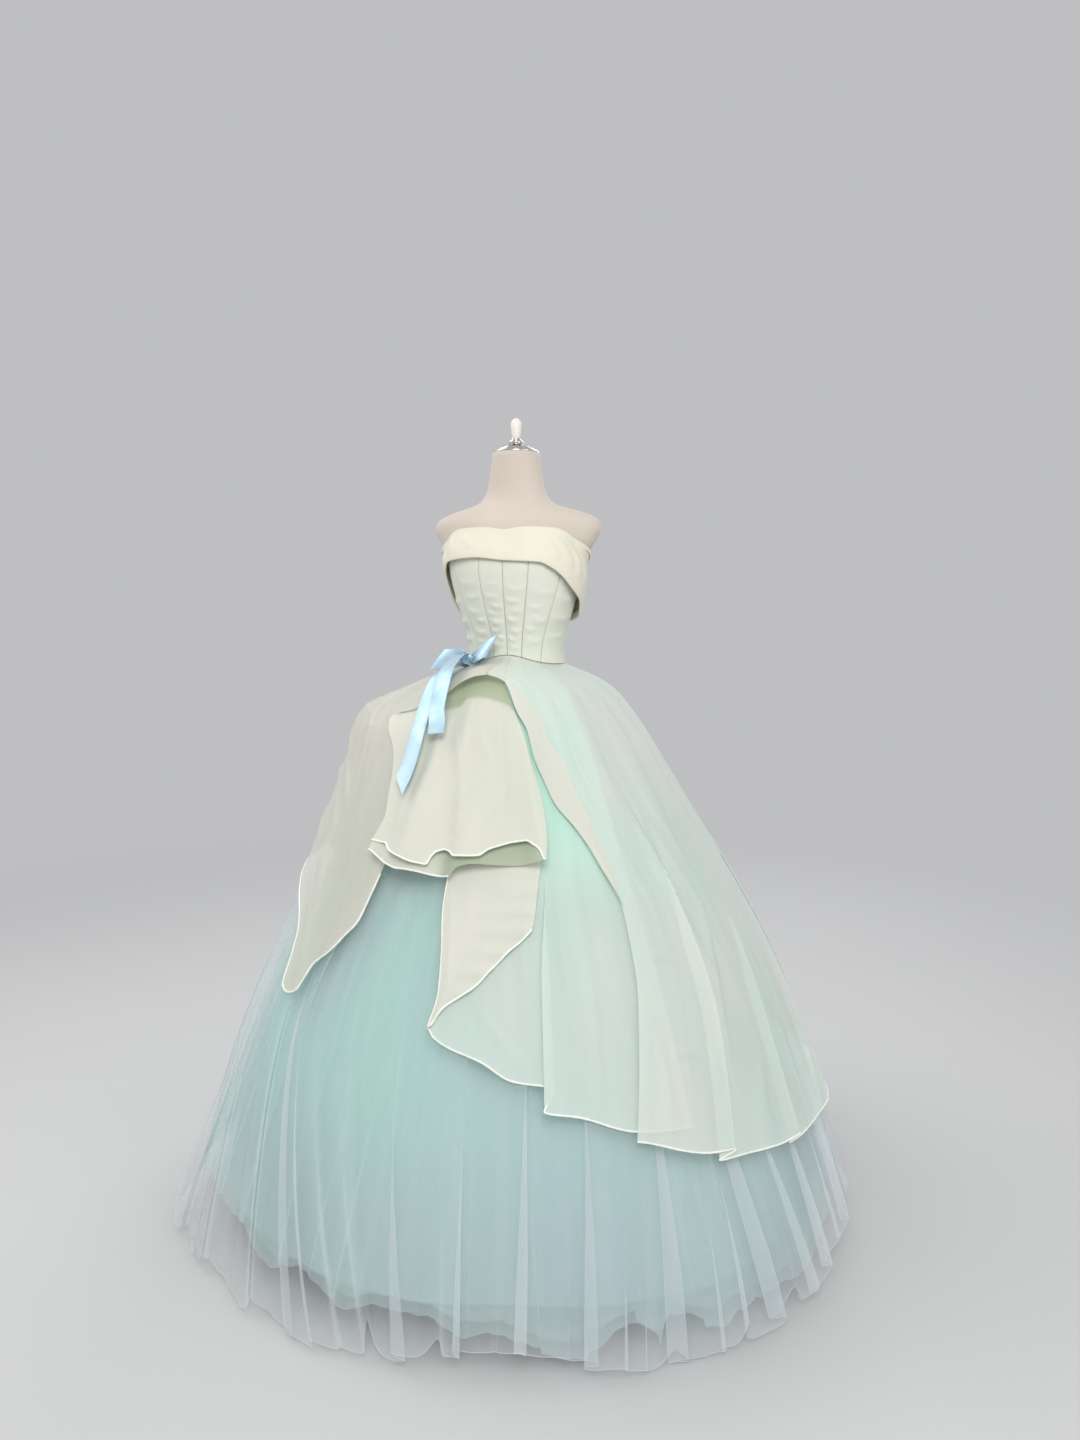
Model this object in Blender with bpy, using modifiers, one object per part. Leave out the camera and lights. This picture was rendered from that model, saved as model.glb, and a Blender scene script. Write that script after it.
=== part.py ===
# Ball gown on a limbless dress form: a boned satin bodice with a fold-over cuff, a full
# skirt of tulle layers over a satin underskirt, a draped organza overskirt and a bow.
# Metres, +Z up. The gown faces -Y. The origin is the centre of the stand's underside.
#
# Places on the cloth are given by an angle in degrees around the upright axis, 0 at the
# front and growing towards the gown's own left (+X), and by a height above the floor.
import math
from collections import namedtuple

import bmesh
import bpy
from mathutils import Matrix, Vector

# Walls and gaps
SATIN_WALL = 0.0015
SKIRT_WALL = 0.0010
RIBBON_WALL = 0.0010
SEAM_GAP = 0.0006
WAIST_GAP = 0.0012
LAP_GAP = 0.0008
LAYER_PITCH = 0.0014

# A soft step: the value where it starts and how far it takes to be complete
Ramp = namedtuple("Ramp", "start span")

# Waist seam: its height at the sides, and how far it rises at the front
WAIST_HEIGHT = 1.179
WAIST_RISE = 0.020
RISE_FADE = 0.036

# Bodice: outer reach from the axis at each height
BodyRow = namedtuple("BodyRow", "height front side back")
BODICE_ROWS = (
    BodyRow(1.179, 0.0845, 0.1070, 0.0840),
    BodyRow(1.205, 0.0830, 0.1050, 0.0820),
    BodyRow(1.240, 0.0880, 0.1085, 0.0845),
    BodyRow(1.270, 0.0970, 0.1165, 0.0890),
    BodyRow(1.310, 0.1090, 0.1290, 0.0950),
    BodyRow(1.350, 0.1190, 0.1395, 0.1010),
    BodyRow(1.380, 0.1220, 0.1460, 0.1040),
    BodyRow(1.410, 0.1190, 0.1490, 0.1060),
    BodyRow(1.440, 0.1110, 0.1500, 0.1060),
    BodyRow(1.470, 0.1010, 0.1480, 0.1030),
)
# Bodice seams: angle at the waist and at the top edge
BodiceSeam = namedtuple("BodiceSeam", "waist top")
BODICE_SEAMS = (
    BodiceSeam(0.0, 0.0),
    BodiceSeam(21.0, 27.0),
    BodiceSeam(47.0, 61.0),
    BodiceSeam(92.0, 95.0),
    BodiceSeam(134.0, 138.0),
    BodiceSeam(180.0, 180.0),
)
BODICE_PANELS = ("centre_front", "front", "side_front", "side_back", "back")
BODICE_SHARES = (1.0, 0.80, 0.58, 0.36, 0.16, 0.0)
WIDE_PANEL = 30.0
# Neckline height by angle, the same on both sides
NeckRow = namedtuple("NeckRow", "angle height")
NECKLINE_ROWS = (
    NeckRow(0.0, 1.460),
    NeckRow(25.0, 1.466),
    NeckRow(50.0, 1.464),
    NeckRow(76.0, 1.434),
    NeckRow(104.0, 1.402),
    NeckRow(140.0, 1.390),
    NeckRow(180.0, 1.388),
)
# Cuff: its lower edge by angle, and how far that edge stands off the bodice
CuffRow = namedtuple("CuffRow", "angle height stand")
CUFF_ROWS = (
    CuffRow(-180.0, 1.270, 0.006),
    CuffRow(-120.0, 1.272, 0.007),
    CuffRow(-100.0, 1.285, 0.009),
    CuffRow(-85.0, 1.330, 0.010),
    CuffRow(-75.0, 1.370, 0.009),
    CuffRow(-60.0, 1.400, 0.008),
    CuffRow(-26.0, 1.406, 0.007),
    CuffRow(0.0, 1.400, 0.006),
    CuffRow(33.0, 1.396, 0.008),
    CuffRow(45.0, 1.383, 0.010),
    CuffRow(55.0, 1.364, 0.012),
    CuffRow(65.0, 1.342, 0.014),
    CuffRow(80.0, 1.316, 0.016),
    CuffRow(95.0, 1.285, 0.015),
    CuffRow(120.0, 1.272, 0.008),
    CuffRow(180.0, 1.270, 0.006),
)
CUFF_RISE = 0.002
CUFF_GAP = 0.0024
CUFF_SIDE_SEAM = 97.0
CUFF_SHARES = (0.0, 0.25, 0.55, 0.80, 1.0)

# Skirt: reach from the axis at each drop below the waist seam
SkirtRow = namedtuple("SkirtRow", "drop front side back")
SKIRT_ROWS = (
    SkirtRow(0.000, 0.0836, 0.1062, 0.0832),
    SkirtRow(0.015, 0.125, 0.140, 0.128),
    SkirtRow(0.040, 0.170, 0.183, 0.174),
    SkirtRow(0.075, 0.208, 0.219, 0.214),
    SkirtRow(0.115, 0.240, 0.250, 0.247),
    SkirtRow(0.165, 0.272, 0.284, 0.284),
    SkirtRow(0.245, 0.315, 0.330, 0.330),
    SkirtRow(0.345, 0.368, 0.386, 0.388),
    SkirtRow(0.465, 0.432, 0.456, 0.458),
    SkirtRow(0.615, 0.505, 0.538, 0.541),
    SkirtRow(0.765, 0.565, 0.604, 0.611),
    SkirtRow(0.915, 0.618, 0.660, 0.671),
    SkirtRow(1.045, 0.660, 0.702, 0.716),
    SkirtRow(1.179, 0.697, 0.742, 0.757),
)
# Places where the hem sweeps further out or in
Kick = namedtuple("Kick", "angle width reach")
HEM_KICKS = (Kick(-76.0, 30.0, -0.020), Kick(57.0, 24.0, 0.016))
KICK_RAMP = Ramp(0.80, 0.34)

HemRow = namedtuple("HemRow", "angle height")
# Tulle layers: lowest hem height, depth below the outer layer, place in the waist stack, columns
Layer = namedtuple("Layer", "name hem depth stack columns")
TULLE_OUTER = Layer("tulle_outer", 0.016, 0.000, 2, 64)
TULLE_MIDDLE = Layer("tulle_middle", 0.050, 0.013, 3, 36)
TULLE_INNER = Layer("tulle_inner", 0.075, 0.026, 4, 36)
UNDERSKIRT = Layer("underskirt", 0.105, 0.042, 5, 40)
STACK_RAMP = Ramp(0.0, 0.07)
TULLE_ROW_DROPS = (0.0, 0.020, 0.065, 0.170, 0.360, 0.650, 1.0)
INNER_ROW_DROPS = (0.0, 0.020, 0.065, 0.200, 1.0)
# The outer tulle and the underskirt are each sewn from this many gores
GORES = 8
# Soft gathers of the outer layer: how many, and their height at the waist and at the hem
GATHERS = 16
GATHER_AT_WAIST = 0.0005
GATHER_AT_HEM = 0.0105
GATHER_DRIFT = 24.0
GATHER_VARIATION = 0.2
GATHER_RAMP = Ramp(0.30, 0.75)
OUTER_HEM_ROWS = (
    HemRow(-180.0, 0.028), HemRow(-150.0, 0.020), HemRow(-125.0, 0.034), HemRow(-105.0, 0.022),
    HemRow(-80.0, 0.046), HemRow(-62.0, 0.018), HemRow(-40.0, 0.026), HemRow(-20.0, 0.016),
    HemRow(-6.0, 0.026), HemRow(4.0, 0.044), HemRow(13.0, 0.058), HemRow(23.0, 0.034),
    HemRow(34.0, 0.018), HemRow(50.0, 0.020), HemRow(66.0, 0.036), HemRow(84.0, 0.062),
    HemRow(104.0, 0.050), HemRow(124.0, 0.022), HemRow(152.0, 0.036), HemRow(180.0, 0.028),
)
# The inner layers end higher and more evenly
INNER_WAVES = 7
INNER_WAVE = 0.010

# Overskirt: how far the organza stands off the tulle, by drop
OVER_STAND = 0.012
OVER_RAMP = Ramp(0.0, 0.08)
OVER_STAND_LOW = 0.006
OVER_LOW_RAMP = Ramp(0.20, 0.30)
# Share of the tulle's gathers that an organza layer clears, reached at this drop
GATHER_CLEARED = 0.6
CLEARED_RAMP = Ramp(0.0, 0.30)
# The organza lies closer to the tulle under the flounce
PRESS_ANGLE = -22.0
PRESS_WIDTH = 14.0
PRESS_SHARE = 0.35
PRESS_RAMP = Ramp(0.16, 0.08)
# How strongly the shape of a hem tells on the rows above it
HEM_SHARE = 1.6
HipRow = namedtuple("HipRow", "drop lift")
HIP_ROWS = (
    HipRow(0.00, 0.000),
    HipRow(0.03, 0.004),
    HipRow(0.07, 0.020),
    HipRow(0.12, 0.056),
    HipRow(0.16, 0.070),
    HipRow(0.21, 0.055),
    HipRow(0.29, 0.034),
    HipRow(0.38, 0.018),
    HipRow(0.48, 0.004),
    HipRow(0.60, 0.000),
)
HIP_ANGLE = -80.0
HIP_WIDTH = 36.0
HIP_WIDTH_BEHIND = 50.0
ARCH_ANGLE = -6.0
ARCH_WIDTH = 24.0
ARCH_LIFT = 0.022
ARCH_RAMP = Ramp(0.012, 0.035)
ARCH_FADE = Ramp(0.07, 0.10)
LEFT_SEAM = 100.0
RIGHT_SEAM = -95.0

EdgeRow = namedtuple("EdgeRow", "height angle")
# Left front of the gown: its free edge from the centre seam round the arch to the hem
LEFT_FRONT_EDGE_ROWS = (
    EdgeRow(1.2000, -2.5), EdgeRow(1.1430, -2.5), EdgeRow(1.1400, 3.0), EdgeRow(1.1340, 7.0),
    EdgeRow(1.1240, 9.2), EdgeRow(1.0850, 13.7), EdgeRow(1.0510, 18.2), EdgeRow(1.0050, 20.2),
    EdgeRow(0.9590, 23.4), EdgeRow(0.9180, 26.2), EdgeRow(0.8780, 31.0), EdgeRow(0.8420, 34.3),
    EdgeRow(0.7970, 37.0), EdgeRow(0.7620, 39.0), EdgeRow(0.7340, 40.0), EdgeRow(0.6360, 39.5),
    EdgeRow(0.5100, 37.0), EdgeRow(0.3600, 34.0),
)
# Its hem, which goes on round the back
LONG_HEM_ROWS = (
    HemRow(30.0, 0.365), HemRow(34.0, 0.360), HemRow(43.0, 0.328), HemRow(52.0, 0.300),
    HemRow(60.0, 0.286), HemRow(70.0, 0.273), HemRow(100.0, 0.255), HemRow(140.0, 0.262),
    HemRow(180.0, 0.285), HemRow(210.0, 0.360), HemRow(235.0, 0.520), HemRow(250.0, 0.650),
    HemRow(266.0, 0.735),
)
LEFT_FRONT_HEIGHTS = (1.179, 1.160, 1.143, 1.134, 1.110, 1.085, 1.051, 1.005, 0.940, 0.860,
                 0.797, 0.734, 0.636, 0.510, 0.360)
BACK_HEIGHTS = (1.179, 1.160, 1.130, 1.090, 1.020, 0.900, 0.700, 0.480, 0.260)
# Turned-back facing on that edge: the angle where it ends
BAND_ROWS = (
    EdgeRow(1.134, 11.4), EdgeRow(1.106, 18.0), EdgeRow(1.081, 24.3), EdgeRow(1.032, 26.8),
    EdgeRow(0.994, 31.3), EdgeRow(0.948, 33.2), EdgeRow(0.894, 36.0), EdgeRow(0.840, 38.6),
    EdgeRow(0.786, 40.8), EdgeRow(0.734, 41.5),
)
# Share of the facing's width, and how far it is raised there
FACING_COLUMNS = ((0.0, 0.0), (0.5, 0.003), (1.0, 0.0005))
FACING_INSET = 0.15
BAND_HEIGHTS = (1.134, 1.110, 1.085, 1.051, 1.005, 0.940, 0.860, 0.797, 0.734)
# Right front of the gown: its free edge and its pointed hem
RIGHT_FRONT_EDGE_ROWS = (
    EdgeRow(1.2000, -2.5), EdgeRow(1.1430, -2.5), EdgeRow(1.1400, -8.0), EdgeRow(1.1320, -14.0),
    EdgeRow(1.1240, -17.5), EdgeRow(1.1100, -21.5), EdgeRow(1.0940, -31.0),
    EdgeRow(1.0730, -40.0), EdgeRow(1.0600, -46.5), EdgeRow(1.0300, -42.0),
    EdgeRow(1.0000, -35.0), EdgeRow(0.9600, -32.5), EdgeRow(0.9300, -31.0),
    EdgeRow(0.9000, -29.0), EdgeRow(0.8700, -25.5), EdgeRow(0.8400, -24.5),
    EdgeRow(0.7800, -25.5),
)
POINTED_HEM_ROWS = (
    HemRow(-96.0, 0.735), HemRow(-76.0, 0.725), HemRow(-57.0, 0.686), HemRow(-48.5, 0.645),
    HemRow(-46.0, 0.600), HemRow(-44.5, 0.545), HemRow(-42.0, 0.538), HemRow(-39.0, 0.548),
    HemRow(-36.5, 0.600), HemRow(-33.0, 0.630), HemRow(-29.6, 0.668), HemRow(-27.5, 0.692),
    HemRow(-26.0, 0.755), HemRow(-25.5, 0.780), HemRow(-20.0, 0.780),
)
RIGHT_FRONT_HEIGHTS = (1.179, 1.160, 1.143, 1.132, 1.110, 1.094, 1.073, 1.060, 1.020, 0.960,
                0.900, 0.840, 0.780)
RIGHT_FRONT_COLUMNS = (0.0, 0.216, 0.388, 0.532, 0.662, 0.705, 0.763, 0.820, 0.892, 0.950, 1.0)
# Under panel that falls below the arch: its folded edge, its hem and its one deep pleat
DRAPE_EDGE_ROWS = (
    EdgeRow(1.200, 6.4), EdgeRow(1.100, 6.4), EdgeRow(1.010, 4.0), EdgeRow(0.910, -1.0),
    EdgeRow(0.830, -4.5), EdgeRow(0.755, -4.7), EdgeRow(0.664, -3.2), EdgeRow(0.603, -2.6),
    EdgeRow(0.543, -3.9),
)
DRAPE_HEM_ROWS = (
    HemRow(-5.0, 0.545), HemRow(-3.9, 0.543), HemRow(-2.5, 0.529), HemRow(0.3, 0.516),
    HemRow(7.2, 0.495), HemRow(12.5, 0.468), HemRow(18.4, 0.455), HemRow(19.8, 0.421),
    HemRow(25.8, 0.404), HemRow(34.2, 0.375), HemRow(46.0, 0.362),
)
DRAPE_HEIGHTS = (1.179, 1.160, 1.130, 1.085, 1.010, 0.910, 0.830, 0.755, 0.664, 0.603, 0.543)
DRAPE_COLUMNS = (0.0, 0.10, 0.20, 0.31, 0.40, 0.475, 0.52, 0.66, 0.83, 1.0)
DRAPE_RIGHT = 45.0
DRAPE_STAND = 0.005
DRAPE_RAMP = Ramp(0.0, 0.07)
DRAPE_STAND_LOW = 0.003
DRAPE_LOW_RAMP = Ramp(0.10, 0.20)
PLEAT_ANGLE = 20.4
PLEAT_WIDTH = 2.4
PLEAT_LIFT = 0.006
PLEAT_RAMP = Ramp(0.25, 0.25)
# Turn-back of the under panel: its free slanting edge
TURN_ROWS = (
    EdgeRow(0.830, 20.4), EdgeRow(0.809, 20.2), EdgeRow(0.769, 19.1), EdgeRow(0.711, 17.7),
    EdgeRow(0.691, 15.5), EdgeRow(0.671, 12.2), EdgeRow(0.639, 8.2), EdgeRow(0.611, 4.9),
    EdgeRow(0.578, -0.7), EdgeRow(0.543, -3.4),
)
TURN_HEIGHTS = (0.812, 0.755, 0.711, 0.664, 0.630, 0.603, 0.570, 0.545)
TURN_LIFT = 0.006
TURN_INSET = 0.2
TURN_COLUMNS = 6
# Flounce that comes out under the arch: both edges, its hem and the waves of its hem
FlounceRow = namedtuple("FlounceRow", "height start end stand")
FLOUNCE_ROWS = (
    FlounceRow(1.200, -20.0, 5.6, 0.0015),
    FlounceRow(1.179, -20.0, 5.6, 0.0015),
    FlounceRow(1.145, -24.0, 6.2, 0.0065),
    FlounceRow(1.115, -36.0, 10.4, 0.0095),
    FlounceRow(1.090, -44.0, 12.8, 0.0125),
    FlounceRow(1.072, -44.6, 14.4, 0.0150),
    FlounceRow(1.055, -43.8, 15.8, 0.0175),
    FlounceRow(1.030, -43.0, 17.4, 0.0205),
    FlounceRow(1.000, -37.0, 18.6, 0.0230),
    FlounceRow(0.960, -33.5, 20.4, 0.0260),
    FlounceRow(0.919, -31.0, 21.7, 0.0300),
    FlounceRow(0.869, -28.5, 22.2, 0.0360),
    FlounceRow(0.815, -29.0, 21.0, 0.0440),
)
# Its outer part passes from under the right front panel to over it
FLOUNCE_OUTER_RAMP = Ramp(22.0, 18.0)
FLOUNCE_CROSSING = Ramp(-1.061, 0.025)
FLOUNCE_UNDER = -0.011
FLOUNCE_OVER = 0.005
FLOUNCE_SEAM_RAMP = Ramp(0.0, 0.03)
FLOUNCE_WAVE_RAMP = Ramp(-1.0, 0.17)
FLOUNCE_HEM_ROWS = (
    HemRow(-46.0, 0.815), HemRow(-28.5, 0.818), HemRow(-25.9, 0.832), HemRow(-21.6, 0.820),
    HemRow(-16.0, 0.804), HemRow(-9.7, 0.799), HemRow(-6.1, 0.832), HemRow(-2.5, 0.820),
    HemRow(4.4, 0.824), HemRow(8.1, 0.840), HemRow(16.0, 0.851), HemRow(18.9, 0.838),
    HemRow(22.5, 0.815),
)
FLOUNCE_HEIGHTS = (1.179, 1.160, 1.135, 1.105, 1.080, 1.060, 1.040, 1.010, 0.960, 0.890, 0.815)
FLOUNCE_COLUMNS = 13
Wave = namedtuple("Wave", "angle width lift")
FLOUNCE_WAVES = (
    Wave(-25.5, 3.0, -0.006),
    Wave(-15.0, 5.0, 0.014),
    Wave(-6.2, 3.0, -0.012),
    Wave(1.5, 4.5, 0.008),
    Wave(13.5, 4.5, -0.010),
    Wave(20.5, 2.5, 0.008),
)
UNDERFOLD_HEM_ROWS = (
    HemRow(-30.0, 0.816), HemRow(-28.2, 0.814), HemRow(-25.2, 0.804), HemRow(-19.9, 0.792),
    HemRow(-14.4, 0.789), HemRow(-7.8, 0.788), HemRow(-2.5, 0.787),
)
UNDERFOLD_DEPTH = 0.010
UNDERFOLD_TOP = 0.860
UNDERFOLD_END = -3.0
UNDERFOLD_INSET = 0.6
UNDERFOLD_COLUMNS = 6

# Bow: ribbon width, the knot's place and size, then its loops and tails. A loop's row
# gives the distance from the knot, the distance outwards and the share of the width.
RIBBON_WIDTH = 0.037
KNOT_ANGLE = -49.0
KNOT_HEIGHT = 1.190
KNOT_SIZE = (0.026, 0.013, 0.019)
KNOT_STAND = 0.014
KNOT_ROUNDING = 0.0045
LOOP_TURN_RAMP = Ramp(0.0, 0.03)
LoopRow = namedtuple("LoopRow", "along out wide")
LOOP_ROWS = (
    LoopRow(0.000, -0.0034, 0.40),
    LoopRow(0.012, -0.0040, 0.62),
    LoopRow(0.030, -0.0030, 0.92),
    LoopRow(0.048, -0.0005, 1.00),
    LoopRow(0.058, 0.0025, 0.98),
    LoopRow(0.060, 0.0060, 0.96),
    LoopRow(0.054, 0.0100, 0.98),
    LoopRow(0.036, 0.0120, 0.96),
    LoopRow(0.016, 0.0085, 0.66),
    LoopRow(0.000, 0.0036, 0.42),
)
Loop = namedtuple("Loop", "name side tilt lean roll slant size")
LOOPS = (
    Loop("bow_loop_right", -1.0, -4.0, 17.0, 40.0, 0.30, 1.25),
    Loop("bow_loop_left", 1.0, 24.0, -10.0, 0.0, -0.30, 1.00),
)
TailRow = namedtuple("TailRow", "angle height stand wide")
LONG_TAIL_ROWS = (
    TailRow(-44.0, 1.162, 0.021, 0.70),
    TailRow(-38.0, 1.140, 0.031, 0.95), TailRow(-32.5, 1.108, 0.034, 1.0),
    TailRow(-29.2, 1.078, 0.036, 1.0), TailRow(-27.0, 1.045, 0.038, 1.0),
    TailRow(-25.3, 1.005, 0.041, 1.0), TailRow(-24.6, 0.965, 0.044, 1.0),
    TailRow(-24.9, 0.930, 0.048, 1.0),
)
SHORT_TAIL_ROWS = (
    TailRow(-38.0, 1.166, 0.036, 0.70),
    TailRow(-29.5, 1.140, 0.049, 0.90), TailRow(-23.5, 1.105, 0.049, 0.95),
    TailRow(-20.0, 1.075, 0.047, 1.0), TailRow(-17.5, 1.050, 0.048, 1.0),
    TailRow(-16.4, 1.030, 0.048, 1.0),
)
# Where each tail leaves the knot, its half width there, and the slant of its end
Tail = namedtuple("Tail", "name rows side out down start slant")
TAILS = (
    Tail("bow_tail_long", LONG_TAIL_ROWS, -0.0068, 0.003, 0.0010, 0.0055, 0.016),
    Tail("bow_tail_short", SHORT_TAIL_ROWS, 0.0062, 0.003, 0.0010, 0.0055, 0.002),
)

# Dress form: reach at each height, roundness of the section, and the shoulder caps
FormRow = namedtuple("FormRow", "height front side back round shoulder")
FORM_ROWS = (
    FormRow(0.900, 0.100, 0.150, 0.112, 2.2, 0.0),
    FormRow(0.960, 0.108, 0.163, 0.122, 2.2, 0.0),
    FormRow(1.020, 0.106, 0.160, 0.122, 2.2, 0.0),
    FormRow(1.080, 0.096, 0.142, 0.108, 2.2, 0.0),
    FormRow(1.130, 0.0830, 0.1160, 0.0880, 2.2, 0.0),
    FormRow(1.168, 0.0740, 0.0970, 0.0735, 2.1, 0.0),
    FormRow(1.205, 0.0760, 0.0985, 0.0750, 2.1, 0.0),
    FormRow(1.240, 0.0830, 0.1035, 0.0795, 2.1, 0.0),
    FormRow(1.270, 0.0930, 0.1125, 0.0850, 2.1, 0.0),
    FormRow(1.310, 0.1050, 0.1250, 0.0910, 2.1, 0.0),
    FormRow(1.350, 0.1150, 0.1355, 0.0970, 2.1, 0.0),
    FormRow(1.380, 0.1180, 0.1420, 0.1000, 2.1, 0.0),
    FormRow(1.410, 0.1150, 0.1445, 0.1010, 2.1, 0.009),
    FormRow(1.430, 0.1085, 0.1445, 0.1000, 2.1, 0.022),
    FormRow(1.450, 0.1000, 0.1440, 0.0975, 2.1, 0.034),
    FormRow(1.470, 0.0920, 0.1440, 0.0950, 2.1, 0.042),
    FormRow(1.484, 0.0860, 0.1430, 0.0910, 2.1, 0.040),
    FormRow(1.494, 0.0800, 0.1400, 0.0860, 2.0, 0.032),
    FormRow(1.503, 0.0740, 0.1320, 0.0800, 2.0, 0.020),
    FormRow(1.511, 0.0690, 0.1180, 0.0740, 2.0, 0.008),
    FormRow(1.520, 0.0640, 0.0980, 0.0690, 2.0, 0.002),
    FormRow(1.530, 0.0600, 0.0820, 0.0650, 2.0, 0.0),
    FormRow(1.550, 0.0570, 0.0680, 0.0600, 2.0, 0.0),
    FormRow(1.590, 0.0535, 0.0575, 0.0560, 2.0, 0.0),
    FormRow(1.632, 0.0510, 0.0510, 0.0510, 2.0, 0.0),
)
FORM_COLUMNS = 40
SHOULDER_ANGLE = 94.0
SHOULDER_WIDTH = 17.0
FORM_CLEARANCE = 0.0040
CAP_PROFILE = ((0.0492, 1.6323), (0.0492, 1.6345), (0.046, 1.6385), (0.036, 1.6425),
               (0.022, 1.6465), (0.0135, 1.6480))
COLLAR_PROFILE = ((0.0100, 1.6483), (0.0146, 1.6510), (0.0156, 1.6555), (0.0130, 1.6605),
                  (0.0105, 1.6625))
KNOB_PROFILE = ((0.0080, 1.6628), (0.0118, 1.6655), (0.0140, 1.6970), (0.0020, 1.7070))
KNOB_SIDES = 8
BASE_PROFILE = ((0.170, 0.0), (0.170, 0.006), (0.160, 0.012), (0.030, 0.018), (0.022, 0.030))
POLE_RADIUS = 0.0125
POLE_FOOT = 0.0303
POLE_TOP = 0.8996

# Colours: linear red, green, blue, then roughness and metallic value
FINISHES = {
    "bodice_satin": (0.74, 0.78, 0.67, 0.45, 0.0),
    "cuff_satin": (0.84, 0.80, 0.66, 0.50, 0.0),
    "organza": (0.72, 0.73, 0.65, 0.55, 0.0),
    "tulle": (0.48, 0.72, 0.66, 0.80, 0.0),
    "underskirt_satin": (0.42, 0.70, 0.62, 0.50, 0.0),
    "ribbon": (0.30, 0.58, 0.76, 0.30, 0.0),
    "form_jersey": (0.80, 0.76, 0.68, 0.80, 0.0),
    "silver": (0.75, 0.74, 0.72, 0.22, 1.0),
    "knob_paint": (0.80, 0.78, 0.74, 0.40, 0.0),
    "stand_paint": (0.70, 0.69, 0.66, 0.45, 0.0),
}


def smooth(value):
    """Ease from 0 to 1, held at both ends."""
    value = min(max(value, 0.0), 1.0)
    return value * value * (3.0 - 2.0 * value)


def ramp(value, step):
    return smooth((value - step.start) / step.span)


def mix(start, end, share):
    return start + (end - start) * share


def bell(value, centre, width):
    """Soft hump of height 1."""
    return math.exp(-((value - centre) / width) ** 2)


def curve(rows, key, column):
    """Smooth curve through one column of a table that never passes its points."""
    pairs = sorted((getattr(row, key), getattr(row, column)) for row in rows)
    xs = [x for x, _ in pairs]
    ys = [y for _, y in pairs]
    steps = [(ys[i + 1] - ys[i]) / (xs[i + 1] - xs[i]) for i in range(len(xs) - 1)]
    slopes = [steps[0]]
    for before, after in zip(steps, steps[1:]):
        slopes.append(0.0 if before * after <= 0.0 else 2.0 * before * after / (before + after))
    slopes.append(steps[-1])

    def value(x):
        x = min(max(x, xs[0]), xs[-1])
        i = max(j for j in range(len(steps)) if xs[j] <= x)
        span = xs[i + 1] - xs[i]
        t = (x - xs[i]) / span
        rise = smooth(t)
        lead = t * (1.0 - t) ** 2 * span * slopes[i]
        tail = t * t * (t - 1.0) * span * slopes[i + 1]
        return mix(ys[i], ys[i + 1], rise) + lead + tail

    return value


def line(rows, key, column):
    """Straight lines through one column of a table."""
    pairs = sorted((getattr(row, key), getattr(row, column)) for row in rows)

    def value(x):
        if x <= pairs[0][0]:
            return pairs[0][1]
        for (x0, y0), (x1, y1) in zip(pairs, pairs[1:]):
            if x <= x1:
                return mix(y0, y1, (x - x0) / (x1 - x0))
        return pairs[-1][1]

    return value


def around(angle, height, radius):
    """Point at an angle around the axis."""
    turn = math.radians(angle)
    return Vector((radius * math.sin(turn), -radius * math.cos(turn), height))


def ring_reach(angle, front, side, back):
    """Reach of an oval ring at an angle."""
    ahead = math.cos(math.radians(angle))
    middle = front if ahead > 0.0 else back
    return mix(side, middle, ahead * ahead)


def gap_angle(radius):
    """Angle that half a seam gap takes up."""
    return math.degrees(0.5 * SEAM_GAP / radius)


# Bodice and form

bodice_front = curve(BODICE_ROWS, "height", "front")
bodice_side = curve(BODICE_ROWS, "height", "side")
bodice_back = curve(BODICE_ROWS, "height", "back")
neckline = curve(NECKLINE_ROWS, "angle", "height")
cuff_low = curve(CUFF_ROWS, "angle", "height")
cuff_stand = curve(CUFF_ROWS, "angle", "stand")
form_curves = {
    column: curve(FORM_ROWS, "height", column)
    for column in ("front", "side", "back", "round", "shoulder")
}


def form_reach(angle, height):
    """Reach of the dress form: an oval section with a cap at each shoulder."""
    turn = math.radians(angle)
    middle = form_curves["front" if math.cos(turn) > 0.0 else "back"](height)
    power = form_curves["round"](height)
    ahead = abs(math.cos(turn)) / middle
    across = abs(math.sin(turn)) / form_curves["side"](height)
    reach = (ahead ** power + across ** power) ** (-1.0 / power)
    cap = bell(abs(angle), SHOULDER_ANGLE, SHOULDER_WIDTH)
    return reach + form_curves["shoulder"](height) * cap


def waist_height(angle):
    ahead = max(math.cos(math.radians(angle)), 0.0)
    return WAIST_HEIGHT + WAIST_RISE * ahead ** 4


def bodice_reach(angle, height):
    """Outer reach of the bodice, kept clear of the form."""
    cut = ring_reach(angle, bodice_front(height), bodice_side(height), bodice_back(height))
    turned = (angle + 180.0) % 360.0 - 180.0
    return max(cut, form_reach(turned, height) + FORM_CLEARANCE)


def cuff_reach(angle, height):
    """Outer reach of the cuff, which stands further off towards its lower edge."""
    low = cuff_low(angle)
    share = (neckline(abs(angle)) - height) / (neckline(abs(angle)) - low)
    close = SATIN_WALL + CUFF_GAP
    return bodice_reach(angle, height) + close + cuff_stand(angle) * smooth(share)


# Skirt

skirt_front = curve(SKIRT_ROWS, "drop", "front")
skirt_side = curve(SKIRT_ROWS, "drop", "side")
skirt_back = curve(SKIRT_ROWS, "drop", "back")
outer_hem = curve(OUTER_HEM_ROWS, "angle", "height")
hip_lift = curve(HIP_ROWS, "drop", "lift")


def turned_angle(angle):
    """The same direction between -180 and 180 degrees."""
    return (angle + 180.0) % 360.0 - 180.0


def drop_at(angle, height):
    top = waist_height(angle)
    return (top - height) * WAIST_HEIGHT / top


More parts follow.
